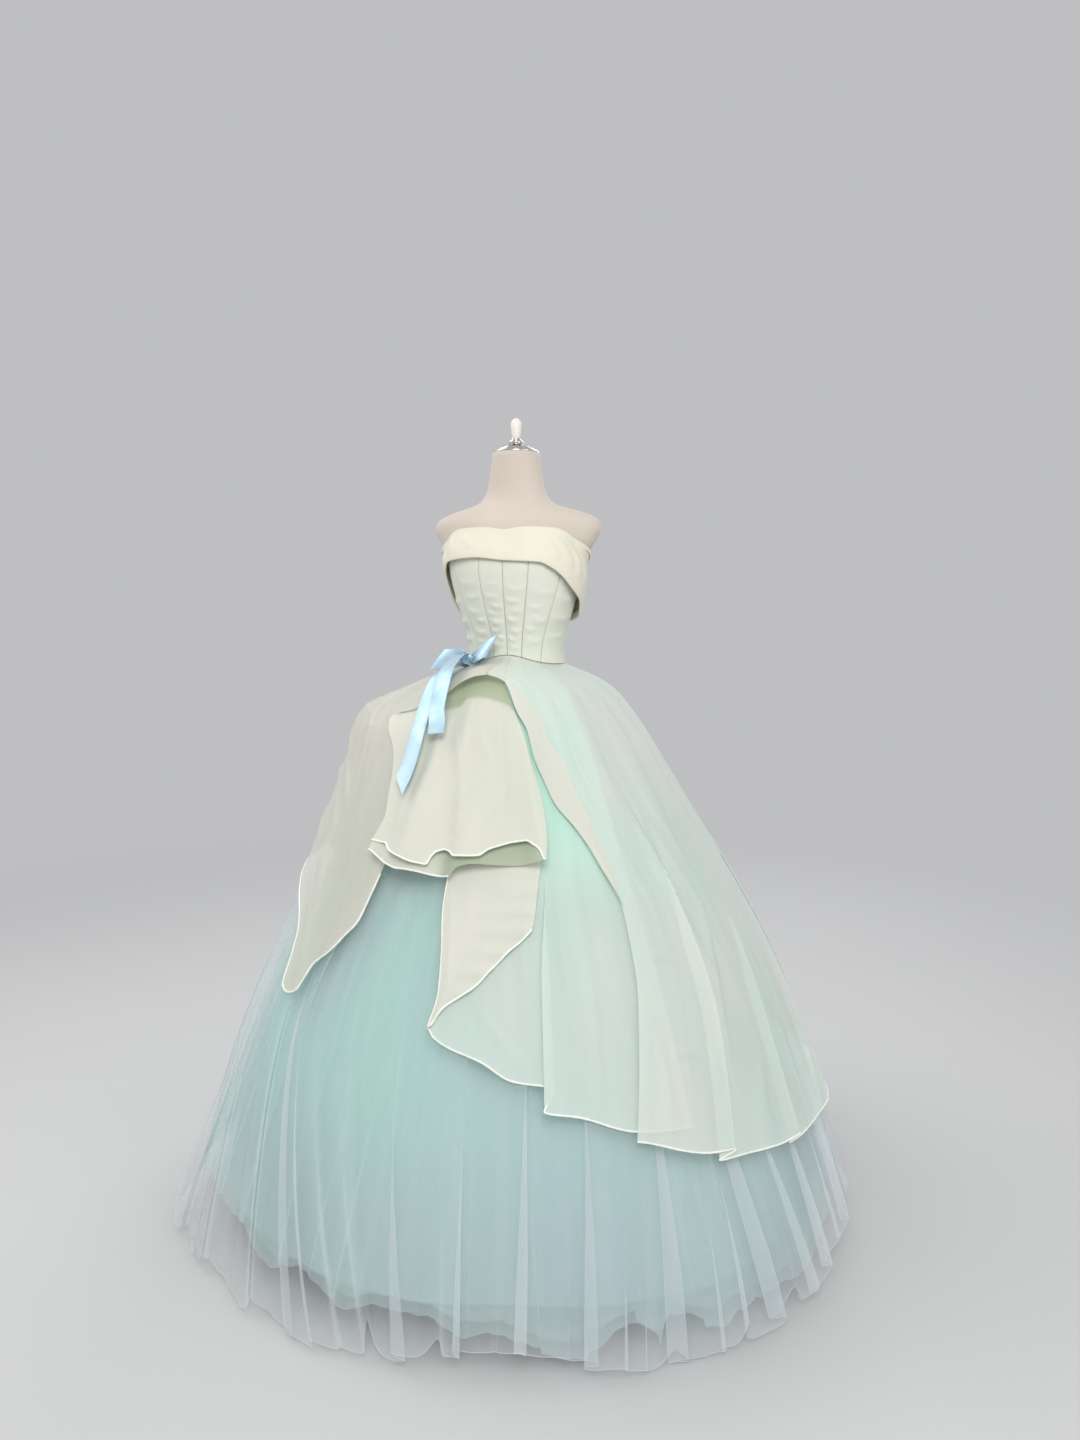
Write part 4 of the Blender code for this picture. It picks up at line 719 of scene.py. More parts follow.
def jerseyFinish():
    finish = Finish("form jersey", {"Sheen Weight": 0.2, "Specular IOR Level": 0.3})
    tone = finish.noise(finish.objectPlace(), 5.0)
    knit = finish.noise(finish.objectPlace((1.0, 1.0, 0.5)), 900.0, 1.0)
    face, worn = colour(209, 198, 185), colour(202, 190, 177)
    finish.feed("Base Color", finish.blend(tone.eased(0.3, 0.7), face, worn))
    finish.feed("Roughness", 0.66 + 0.1 * knit)
    finish.feed("Normal", finish.bump(knit, 0.12, 0.0004))
    return finish.material


def metalFinish(name, face, rough, brushed):
    finish = Finish(name, {"Metallic": 1.0, "Base Color": face})
    lines = finish.noise(finish.objectPlace((12.0, 12.0, 400.0)), 1.0, 2.0)
    smudge = finish.noise(finish.objectPlace(), 30.0)
    finish.feed("Roughness", rough + brushed * lines + 0.08 * smudge)
    finish.feed("Normal", finish.bump(lines, 0.05, 0.0002))
    return finish.material


def paintFinish(name, face, worn, rough):
    finish = Finish(name, {"Coat Weight": 0.2})
    speck = finish.noise(finish.objectPlace(), 60.0, 4.0)
    finish.feed("Base Color", finish.blend(speck.eased(0.58, 0.72), face, worn))
    finish.feed("Roughness", rough + 0.15 * speck)
    finish.feed("Normal", finish.bump(finish.noise(finish.objectPlace(), 240.0, 2.0), 0.06, 0.0004))
    return finish.material


finishes["under"] = underskirtFinish()
finishes["ribbon"] = ribbonFinish()
finishes["jersey"] = jerseyFinish()
finishes["silver"] = metalFinish("polished silver", colour(214, 210, 204), 0.12, 0.1)
finishes["knob"] = paintFinish("knob paint", colour(236, 230, 220), colour(226, 220, 210), 0.28)
finishes["stand"] = paintFinish("stand paint", colour(222, 220, 214), colour(206, 204, 198), 0.42)


# Dress form

def turnedPiece(name, profile, sides, rounding=0.0):
    # profile from the foot up, extruded ring by ring from a disc
    deselectAll()
    radius, height = profile[0]
    bpy.ops.mesh.primitive_circle_add(vertices=sides, radius=radius, fill_type="NGON",
                                      location=(0.0, 0.0, height))
    piece = bpy.context.object
    piece.name = name
    bpy.ops.object.transform_apply(location=True, rotation=True, scale=True)
    bpy.ops.object.mode_set(mode="EDIT")
    bpy.ops.mesh.select_all(action="SELECT")
    for nextRadius, nextHeight in profile[1:]:
        bpy.ops.mesh.extrude_region_move(TRANSFORM_OT_translate={"value": (0.0, 0.0, nextHeight - height)})
        share = nextRadius / radius
        bpy.ops.transform.resize(value=(share, share, 1.0), center_override=(0.0, 0.0, nextHeight))
        radius, height = nextRadius, nextHeight
    bpy.ops.object.mode_set(mode="OBJECT")
    cleaned(piece)
    if rounding > 0.0:
        applyModifier(piece, "BEVEL", width=rounding, segments=3, limit_method="ANGLE",
                      angle_limit=math.radians(25.0))
    choose(piece)
    bpy.ops.object.shade_smooth_by_angle(angle=math.radians(38.0))
    return piece


# name, node, profile as radius and height, sides, rounding, finish, slot
neckParts = [
    ("neckCap", "neck_cap",
     [(0.0496, 1.6323), (0.0496, 1.6347), (0.0468, 1.6362), (0.0458, 1.638), (0.0398, 1.6394),
      (0.0388, 1.6414), (0.0322, 1.6426), (0.031, 1.6444), (0.024, 1.6455), (0.02, 1.6472),
      (0.014, 1.648)], 96, 0.0006, "silver", "silver"),
    ("neckCollar", "neck_collar",
     [(0.01, 1.6483), (0.0146, 1.6505), (0.0158, 1.6532), (0.0158, 1.656), (0.014, 1.6588),
      (0.0108, 1.6604), (0.0105, 1.6625)], 64, 0.0005, "silver", "silver"),
    ("neckKnob", "neck_knob",
     [(0.0085, 1.6628), (0.0098, 1.666), (0.0112, 1.68), (0.0126, 1.6935), (0.0105, 1.6995),
      (0.0062, 1.7042), (0.002, 1.7066)], 8, 0.001, "knob", "knob_paint"),
]


def dressForm():
    heights = finer([row[0] for row in formCut["rows"]][::-1], formCut["step"])
    angles = np.linspace(-180.0, 180.0, formCut["columns"] + 1)
    grid, level = np.meshgrid(angles, heights)
    torso = clothSheet("formTorso", around(grid, level, formReach(grid, level)), closed=True)
    choose(torso)
    bpy.ops.object.mode_set(mode="EDIT")
    bpy.ops.mesh.select_mode(type="EDGE")
    bpy.ops.mesh.select_all(action="DESELECT")
    bpy.ops.mesh.select_non_manifold()
    bpy.ops.mesh.edge_face_add()
    bpy.ops.object.mode_set(mode="OBJECT")
    settle(torso, finishes["jersey"], ["form_torso"])
    for name, node, profile, sides, rounding, finish, slot in neckParts:
        settle(turnedPiece(name, profile, sides, rounding), finishes[finish], [node])
    for node, finish, slot in (("stand_base", "stand", "stand_paint"), ("stand_pole", "silver", "silver")):
        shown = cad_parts[node]
        shown.data.materials.clear()
        shown.data.materials.append(finishes[finish])
    print("dress form made")


# Bodice

def bodicePanels():
    cut, stitchRows = bodiceCut, []
    for side, word in ((1.0, "Left"), (-1.0, "Right")):
        seams = zip(cut["panels"], cut["seams"], cut["seams"][1:])
        for panel, (lowStart, topStart), (lowEnd, topEnd) in seams:
            share = downward(cut["rowsDown"])[::-1]
            across = crosswise(cut["columns"])
            across = across - cut["edgeCrowd"] * np.sin(math.tau * across)
            angle = mix(mix(lowStart, topStart, share), mix(lowEnd, topEnd, share), across)
            height = mix(waistHeight(angle) + cut["waistGap"], neckline(angle), share)
            reach = bodiceReach(side * angle, height)
            metres = np.radians(1.0) * reach
            fromStart = (angle - angle[:, :1]) * metres
            fromEnd = (angle[:, -1:] - angle) * metres
            gap = np.degrees(0.5 * cut["seamGap"] / reach)
            angle = angle + gap * (1.0 - 2.0 * across)
            edge = np.minimum(fromStart, fromEnd)
            dip = cut["seamDip"] * bell(edge, 0.0, cut["seamDipWidth"])
            dip = dip + cut["stitchDip"] * bell(edge, cut["stitchInset"], cut["stitchDipWidth"])
            lift = cut["creaseGain"] * creaseLift(side * angle, height, cut["creases"], bodiceReach)
            points = around(side * angle, height, reach + lift * ease(edge, 0.0, cut["creaseEdge"]) - dip)
            seamLine = bell(edge, 0.0, cut["seamMark"])
            for border, sign in ((0, 1.0), (-1, -1.0)):
                lineAngle = angle[:, border] + sign * np.degrees(cut["stitchInset"] / reach[:, border])
                level = mix(waistHeight(lineAngle) + cut["waistGap"], neckline(lineAngle), share[:, 0])
                rowReach = bodiceReach(side * lineAngle, level) + 0.5 * cut["wall"] - cut["stitchDip"]
                stitchRows.append(around(side * lineAngle, level, rowReach))
            if side < 0.0:
                points, seamLine = points[:, ::-1], seamLine[:, ::-1]
            piece = clothSheet("bodice" + panel + word, points, wall=cut["wall"], mark=seamLine)
            settle(piece, finishes["bodice"], [cut["nodes"][panel] + "_" + word.lower()])
    topstitch("bodiceTopstitch", stitchRows)
    print("bodice made")


def topstitch(name, rows):
    # one stitch, copied along every row of points
    deselectAll()
    bpy.ops.mesh.primitive_ico_sphere_add(subdivisions=1, radius=1.0)
    stitch = bpy.context.object
    shape = np.array([tuple(v.co) for v in stitch.data.vertices]) * bodiceCut["stitchHalf"]
    faces = np.array([tuple(p.vertices) for p in stitch.data.polygons])
    bpy.data.objects.remove(stitch)
    pitch, start = bodiceCut["stitchPitch"], bodiceCut["stitchFrom"]
    places, runs = [], []
    for row in rows:
        along = walked(row)
        spots = np.arange(0.5 * pitch, along[-1] - start, pitch) + start
        at = np.stack([np.interp(spots, along, row[:, i]) for i in range(3)], axis=1)
        ahead = np.stack([np.interp(spots + 0.001, along, row[:, i]) for i in range(3)], axis=1)
        places.append(at)
        runs.append(unit(ahead - at + 1e-9))
    places, runs = np.concatenate(places), np.concatenate(runs)
    outward = unit(places * (1.0, 1.0, 0.0))
    sideways = unit(np.cross(outward, runs))
    outward = np.cross(runs, sideways)
    points = places[:, None] + shape @ np.stack([sideways, outward, runs], axis=1)
    allFaces = faces[None] + len(shape) * np.arange(len(places))[:, None, None]
    mesh = bpy.data.meshes.new(name)
    mesh.from_pydata(points.reshape(-1, 3).tolist(), [], allFaces.reshape(-1, 3).tolist())
    piece = linked(name, mesh)
    cleaned(piece)
    settle(piece, finishes["thread"])


# Cuff

cuffCut = {
    # angle, height of the lower edge, how far that edge stands off
    "rows": [
        (-180.0, 1.27, 0.006), (-120.0, 1.272, 0.007), (-100.0, 1.285, 0.009), (-85.0, 1.33, 0.01),
        (-75.0, 1.37, 0.009), (-60.0, 1.4, 0.008), (-26.0, 1.406, 0.007), (0.0, 1.4, 0.006),
        (33.0, 1.396, 0.008), (45.0, 1.383, 0.01), (55.0, 1.364, 0.012), (65.0, 1.342, 0.014),
        (80.0, 1.316, 0.016), (95.0, 1.285, 0.015), (120.0, 1.272, 0.008), (180.0, 1.27, 0.006),
    ],
    "rise": 0.002,
    "close": 0.0039,
    "seamGap": 0.0006,
    "seamReach": 0.14,
    "wall": 0.001,
    "turnUnder": 0.016,
    "foldDepth": 0.0016,
    "rollRadius": 0.0012,
    "rollDown": 0.01,
    "rowsDown": 46,
    "fullness": 1.7,
    # name, node, start, end, columns, cut size
    "pieces": [("cuffFront", "cuff_front", -97.0, 97.0, 190, (0.585, 0.16, 0.0555)),
               ("cuffBackLeft", "cuff_back_left", 97.0, 180.0, 80, (0.196, 0.158, 0.0279)),
               ("cuffBackRight", "cuff_back_right", -180.0, -97.0, 80, (0.196, 0.158, 0.0279))],
    "creases": [
        (-62.0, 1.452, -58.0, 1.432, -60.0, 1.412, 0.005, 0.0016, 1.6),
        (-78.0, 1.425, -74.0, 1.405, -78.0, 1.385, 0.005, 0.0022, 1.6),
        (-92.0, 1.4, -88.0, 1.37, -92.0, 1.34, 0.0055, 0.0024, 1.5),
        (-44.0, 1.455, -36.0, 1.44, -30.0, 1.424, 0.006, 0.0012, 1.8),
        (-14.0, 1.452, -9.0, 1.434, -12.0, 1.414, 0.007, 0.001, 1.8),
        (14.0, 1.452, 20.0, 1.434, 17.0, 1.412, 0.007, 0.0012, 1.6),
        (34.0, 1.456, 44.0, 1.432, 50.0, 1.398, 0.007, 0.0022, 1.8),
        (44.0, 1.458, 56.0, 1.425, 63.0, 1.382, 0.0075, 0.003, 1.6),
        (56.0, 1.45, 68.0, 1.41, 74.0, 1.362, 0.0075, 0.0034, 1.5),
        (70.0, 1.43, 80.0, 1.388, 84.0, 1.345, 0.007, 0.003, 1.5),
        (84.0, 1.41, 90.0, 1.37, 92.0, 1.32, 0.007, 0.0026, 1.5),
        (112.0, 1.385, 116.0, 1.345, 112.0, 1.305, 0.008, 0.0022, 1.4),
        (138.0, 1.38, 134.0, 1.34, 138.0, 1.3, 0.008, 0.002, 1.6),
        (160.0, 1.375, 164.0, 1.335, 160.0, 1.3, 0.008, 0.0022, 1.5),
        (-112.0, 1.385, -117.0, 1.345, -112.0, 1.305, 0.008, 0.0022, 1.5),
        (-136.0, 1.38, -140.0, 1.34, -136.0, 1.3, 0.008, 0.002, 1.4),
        (-164.0, 1.375, -160.0, 1.335, -164.0, 1.3, 0.008, 0.002, 1.5),
    ],
}
cuffLow = softCurve(cuffCut["rows"])
cuffStand = softCurve(cuffCut["rows"], 2)


def cuffReach(angle, height):
    edge = neckline(np.abs(angle))
    stand = cuffStand(angle) * ease((edge - height) / (edge - cuffLow(angle)), 0.0, 1.0)
    return bodiceReach(angle, height) + cuffCut["close"] + stand


def cuffPieces():
    cut, depth, radius = cuffCut, cuffCut["foldDepth"], cuffCut["rollRadius"]
    gap = math.degrees(0.5 * cut["seamGap"] / cut["seamReach"])
    for name, node, start, end, columns, flat in cut["pieces"]:
        angle = np.linspace(start + gap, end - gap, columns)[None, :]
        top, low = neckline(np.abs(angle)) + cut["rise"], cuffLow(angle)
        fall = downward(cut["rowsDown"])
        height = mix(top, low, fall)
        lift = creaseLift(angle, height, cut["creases"], bodiceReach) * ease(fall, 0.05, 0.3)
        reach = cuffReach(angle, height) + cut["fullness"] * lift
        outer = around(angle, height, reach)
        # over the top edge and a little way down inside
        roll = np.linspace(-1.0, 0.0, 7)[:-1, None]
        inHeight = top + radius * np.cos(roll * math.pi / 2) - radius
        inHeight = inHeight + cut["rollDown"] * np.minimum(roll + 0.35, 0.0)
        inTop = around(angle, inHeight, bodiceReach(angle, top) + cut["close"] * (1.0 + roll * 0.35))
        # rounded lower fold and the ply that goes back up behind
        bend = np.linspace(0.0, math.pi, 8)[1:, None]
        under = around(angle, low - depth * np.sin(bend), reach[-1:] - depth * (1.0 - np.cos(bend)))
        backHeight = low + cut["turnUnder"] * downward(7)[1:]
        backReach = cuffReach(angle, backHeight) - 2.0 * depth
        backReach = np.maximum(backReach, bodiceReach(angle, backHeight) + depth)
        points = np.concatenate([inTop, outer, under, around(angle, backHeight, backReach)])
        piece = clothSheet(name, points, wall=cut["wall"])
        settle(piece, finishes["cuff"], [node])
    print("cuff made")


# Underskirt and tulle

tulleCut = {
    "hem": [
        (-180.0, 0.028), (-150.0, 0.02), (-125.0, 0.034), (-105.0, 0.022), (-80.0, 0.046), (-62.0, 0.018),
        (-40.0, 0.026), (-20.0, 0.016), (-6.0, 0.026), (4.0, 0.044), (13.0, 0.058), (23.0, 0.034),
        (34.0, 0.018), (50.0, 0.02), (66.0, 0.036), (84.0, 0.062), (104.0, 0.05), (124.0, 0.022),
        (152.0, 0.036), (180.0, 0.028),
    ],
    "denseHem": [
        (-180.0, 0.06), (-160.0, 0.045), (-130.0, 0.08), (-105.0, 0.06), (-80.0, 0.11), (-60.0, 0.125),
        (-45.0, 0.118), (-31.0, 0.08), (-23.0, 0.108), (-14.0, 0.07), (-8.0, 0.09), (0.0, 0.088),
        (5.0, 0.062), (11.0, 0.07), (19.0, 0.038), (23.0, 0.03), (30.0, 0.076), (36.0, 0.03), (38.0, 0.074),
        (46.0, 0.036), (48.0, 0.054), (56.0, 0.058), (64.0, 0.052), (84.0, 0.085), (104.0, 0.07),
        (124.0, 0.05), (152.0, 0.075), (180.0, 0.06),
    ],
    # gaps where the hem parts: angle, width, rise
    "gaps": [(-8.2, 0.8, 0.05), (1.6, 0.7, 0.036), (-31.0, 1.0, 0.02), (34.0, 0.8, 0.022), (47.0, 0.9, 0.026),
             (58.0, 0.8, 0.03), (-120.0, 1.2, 0.03), (150.0, 1.2, 0.028), (108.0, 1.0, 0.03)],
    # laps of the outer layer at the front: angle at the hem and at the waist, width, depth, start
    "frontFolds": [
        (-86.0, -90.0, 3.0, 1.5, 0.05), (-75.0, -79.0, 2.2, 1.7, 0.2), (-64.0, -69.0, 3.2, 1.6, 0.0),
        (-56.0, -63.0, 1.6, 1.9, 0.3), (-49.3, -56.0, 1.8, 2.2, 0.25), (-45.6, -57.0, 2.6, 1.7, 0.1),
        (-37.0, -46.0, 1.7, 1.6, 0.0), (-31.0, -42.0, 2.8, 2.0, 0.2), (-22.0, -38.0, 2.1, 2.7, 0.15),
        (-17.0, -36.0, 2.3, 2.3, 0.1), (-12.6, -22.0, 1.2, 1.6, 0.4), (-9.2, -17.0, 1.6, 1.9, 0.3),
        (-3.3, -13.0, 2.4, 2.6, 0.2), (2.4, 1.0, 1.3, 1.8, 0.5), (5.2, 8.0, 2.0, 2.4, 0.25),
        (10.0, 12.0, 1.5, 1.5, 0.1), (14.3, 14.6, 2.9, 2.1, 0.2), (20.4, 22.0, 1.3, 1.7, 0.5),
        (24.2, 26.0, 2.5, 2.4, 0.25), (29.1, 30.5, 1.1, 2.2, 0.6), (31.6, 33.0, 0.9, 1.8, 0.66),
        (36.8, 43.0, 2.5, 2.7, 0.3), (43.6, 46.0, 1.1, 1.8, 0.6), (47.6, 50.0, 1.0, 1.9, 0.6),
        (54.2, 50.0, 2.2, 2.7, 0.35), (58.8, 56.0, 1.0, 1.7, 0.66), (62.2, 54.0, 2.0, 2.8, 0.4),
        (68.6, 73.0, 2.2, 2.2, 0.35), (74.6, 75.0, 1.2, 1.9, 0.6), (80.0, 80.0, 2.0, 2.1, 0.35),
        (88.6, 95.0, 2.8, 2.3, 0.25),
    ],
    "layers": [
        {"name": "tulleOuter", "hem": None, "depth": 0.0, "stack": 2, "finish": "tulle", "seed": 11,
         "flare": 1.0, "inward": 0.013, "flutes": 0.0155, "columns": 1350, "rows": 52,
         "flat": (6.65, 1.42, 4.47)},
        {"name": "tulleMiddle", "hem": 0.0, "hemShare": 1.0, "depth": 0.0235, "stack": 3,
         "finish": "tulleDeep", "seed": 23, "flare": 0.75, "inward": 0.006, "flutes": 0.006,
         "columns": 800, "rows": 36, "flat": (4.73, 1.33, 3.57)},
        {"name": "tulleInner", "hem": 0.03, "hemShare": 0.8, "depth": 0.0365, "stack": 4,
         "finish": "tulleDeep", "seed": 37, "flare": 0.5, "inward": 0.005, "flutes": 0.004,
         "columns": 700, "rows": 32, "flat": (4.55, 1.3, 3.39)},
    ],
    # where the outer layer's hem flies out beyond the others: angle, width, reach
    "flare": (-61.0, 12.0, 0.042),
    # folds drawn at random: from, to, spacing
    "backFolds": (99.0, 268.0, 7.0),
    "innerFolds": (-180.0, 176.0, 8.0),
    "innerDepth": 0.9,
    "innerStart": 0.3,
    # how the columns crowd at a fold: strength, width
    "crowd": (6.0, 1.7),
    "crowdSteps": 14401,
    "rowPower": 0.9,
    "hemLowered": 0.006,
    # slow and fast unevenness of the hems: size, pace, then shift and pace of the shift
    "hemWaver": (0.006, 9.0),
    "hemRipple": (0.0016, 131.0, 2.0, 7.0),
    "hemLowest": 0.0025,
    "flutesRound": 23.0,
    "fineFolds": 150,
    "fineLift": 0.003,
    "edgeRadius": 0.00045,
    "below": {"tulleOuter": "tulleMiddle", "tulleMiddle": "tulleInner", "tulleInner": "underskirt"},
    "nodes": {
        "tulleOuter": ["tulle_outer_" + str(i) for i in range(1, 9)],
        "tulleMiddle": ["tulle_middle"],
        "tulleInner": ["tulle_inner"],
    },
}
outerHem = softCurve(tulleCut["hem"])


def randomFolds(seed, first, last, pitch):
    draw = np.random.default_rng(seed)
    folds = []
    angle = first
    while angle < last:
        lean = draw.uniform(-6.0, 6.0)
        width = draw.choice((1.1, 1.6, 2.0, 2.4, 3.0))
        folds.append((angle, angle + lean, width, draw.uniform(1.4, 2.6), draw.uniform(0.0, 0.6)))
        angle += pitch * draw.uniform(0.3, 1.3) + 1.5 * width
    return folds


def fineFolds(angle, fall, seed):
    # many small soft ridges that run down part of the way
    draw = np.random.default_rng(seed)
    total = np.zeros(np.broadcast(angle, fall).shape)
    for _ in range(tulleCut["fineFolds"]):
        centre = draw.uniform(-180.0, 180.0)
        width = draw.uniform(0.35, 1.3)
        middle = draw.uniform(0.05, 0.95)
        length = draw.uniform(0.12, 0.4)
        slant = draw.uniform(-6.0, 6.0)
        size = tulleCut["fineLift"] * draw.uniform(0.3, 1.0)
        off = wrapped(angle - centre - slant * (fall - middle))
        total += size * bell(off, 0.0, width) * bell(fall, middle, length)
    return total


def layerStack(layer, drop):
    seam = -layer["stack"] * skirtCut["stackPitch"]
    return mix(seam, -layer["depth"], ease(drop, 0.0, 0.07))


def layerFolds(layer):
    # the outer layer has the folds seen in front, the layers below it even ones all round
    if layer["hem"] is None:
        return tulleCut["frontFolds"] + randomFolds(layer["seed"], *tulleCut["backFolds"])
    even = (tulleCut["innerDepth"], tulleCut["innerStart"])
    return [row[:3] + even for row in randomFolds(layer["seed"], *tulleCut["innerFolds"])]


def crowdedColumns(folds, columns):
    # columns crowd together where the cloth turns back on itself
    strength, reach = tulleCut["crowd"]
    fine = np.linspace(-180.0, 180.0, tulleCut["crowdSteps"])
    crowd = np.ones_like(fine)
    for hemAngle, _, width, _, _ in folds:
        crowd += strength / width ** 0.5 * bell(wrapped(fine - hemAngle), 0.0, reach * width)
    total = np.concatenate([[0.0], crowd[:-1].cumsum()])
    return np.interp(np.linspace(0.0, total[-1], columns + 1), total, fine)[None, :]


def layerHem(layer, along):
    cut = tulleCut
    if layer["hem"] is None:
        hem = outerHem(along) - cut["hemLowered"]
        for gapAngle, width, rise in cut["gaps"]:
            hem = hem + rise * bell(wrapped(along - gapAngle), 0.0, width)
    else:
        hem = layer["hem"] + softCurve(cut["denseHem"])(along) * layer["hemShare"]
    turn = np.radians(np.abs(along))
    size, pace = cut["hemWaver"]
    hem = hem + size * wander(turn * pace, layer["seed"] + 1)
    size, pace, shift, shiftPace = cut["hemRipple"]
    hem = hem + size * np.sin(np.radians(along) * pace + shift * wander(turn * shiftPace, 5))
    return np.maximum(hem, cut["hemLowest"])


def tulleLayer(layer):
    cut = tulleCut
    folds = layerFolds(layer)
    along = crowdedColumns(folds, layer["columns"])
    fall = downward(layer["rows"]) ** cut["rowPower"]
    height = mix(waistHeight(along), layerHem(layer, along), fall)
    turn = np.zeros(height.shape)
    inward = np.zeros(height.shape)
    for hemAngle, waistAngle, width, depth, start in folds:
        lean = (waistAngle - hemAngle) * (1.0 - fall) * ease(fall, 0.15, 0.5)
        x = wrapped(along - hemAngle) / width
        pull = x * np.exp(-x * x) * ease(fall, start, 0.95 - 0.85 * start)
        turn = turn - depth * width * pull + lean * bell(x, 0.0, 4.5)
        inward = inward - layer["inward"] * pull
    way, seed = np.radians(np.abs(along)), layer["seed"]
    flute = np.cos(np.radians(along) * cut["flutesRound"] + 3.0 * wander(way, seed + 2))
    flute = flute * (0.66 + 0.34 * wander(way * 2.0, seed + 3))
    angle = along + turn
    drop = dropAt(angle, height)
    stand = layerStack(layer, drop) + inward + layer["flutes"] * flute * ease(drop, 0.15, 1.0)
    stand = stand + fineFolds(along, fall, seed + 4) * ease(drop, 0.03, 0.3)
    place, width, reach = cut["flare"]
    stand = stand + layer["flare"] * reach * bell(wrapped(along - place), 0.0, width) * ease(fall, 0.74, 0.26)
    points = onSkirt(angle, height, stand)
    points[:, -1] = points[:, 0]
    # the net looks thicker where it stands edge on
    facing = unit(np.cross(np.gradient(points, axis=0), np.gradient(points, axis=1)))
    bent = 1.0 - np.abs((facing * skirtNormal(angle, height)).sum(-1))
    bent[:, -1] = bent[:, 0]
    piece = clothSheet(layer["name"], points, closed=True, mark=bent)
    settle(piece, finishes[layer["finish"]], cut["nodes"][layer["name"]])
    if layer["hem"] is None:
        edge = cordOver("tulleOuterEdge", points[-1, :-1][::2], cut["edgeRadius"], 1)
        settle(edge, finishes["tulleEdge"])


underskirtCut = {
    "hem": 0.1,
    "depth": 0.0525,
    "stack": 5,
    "gores": 8,
    "columns": 320,
    "rows": 48,
    "wall": 0.0009,
    # waves of the hem and of the cloth: size, times round
    "hemWave": (0.005, 7.0),
    "wave": (0.0045, 16.0),
    "seamDip": 0.0016,
    "seamWidth": 0.9,
    # stitched line of the hem: height above the edge, depth, width
    "hemBand": (0.02, 0.0008, 0.004),
    "flat": (4.13, 1.26, 3.19),
}


def underskirt():
    cut = underskirtCut
    along = np.linspace(-180.0, 180.0, cut["columns"] + 1)[None, :]
    fall = downward(cut["rows"]) ** tulleCut["rowPower"]
    size, times = cut["hemWave"]
    height = mix(waistHeight(along), cut["hem"] + size * np.sin(np.radians(times * along)), fall)
    drop = dropAt(along, height)
    size, times = cut["wave"]
    stand = layerStack(cut, drop) + size * np.cos(np.radians(times * along)) * ease(drop, 0.3, 0.8)
    gore = 360.0 / cut["gores"]
    offSeam = np.abs((along + 0.5 * gore) % gore - 0.5 * gore)
    stand = stand - cut["seamDip"] * bell(offSeam, 0.0, cut["seamWidth"]) * ease(drop, 0.02, 0.1)
    rise, depth, width = cut["hemBand"]
    stand = stand - depth * bell(height - cut["hem"] - rise, 0.0, width)
    piece = clothSheet("underskirt", onSkirt(along, height, stand), closed=True, wall=cut["wall"])
    nodes = ["underskirt_" + str(i + 1) for i in range(cut["gores"])]
    settle(piece, finishes["under"], nodes)


def skirtLayers():
    underskirt()
    for layer in tulleCut["layers"]:
        tulleLayer(layer)
    print("skirt layers made")


# Organza overskirt

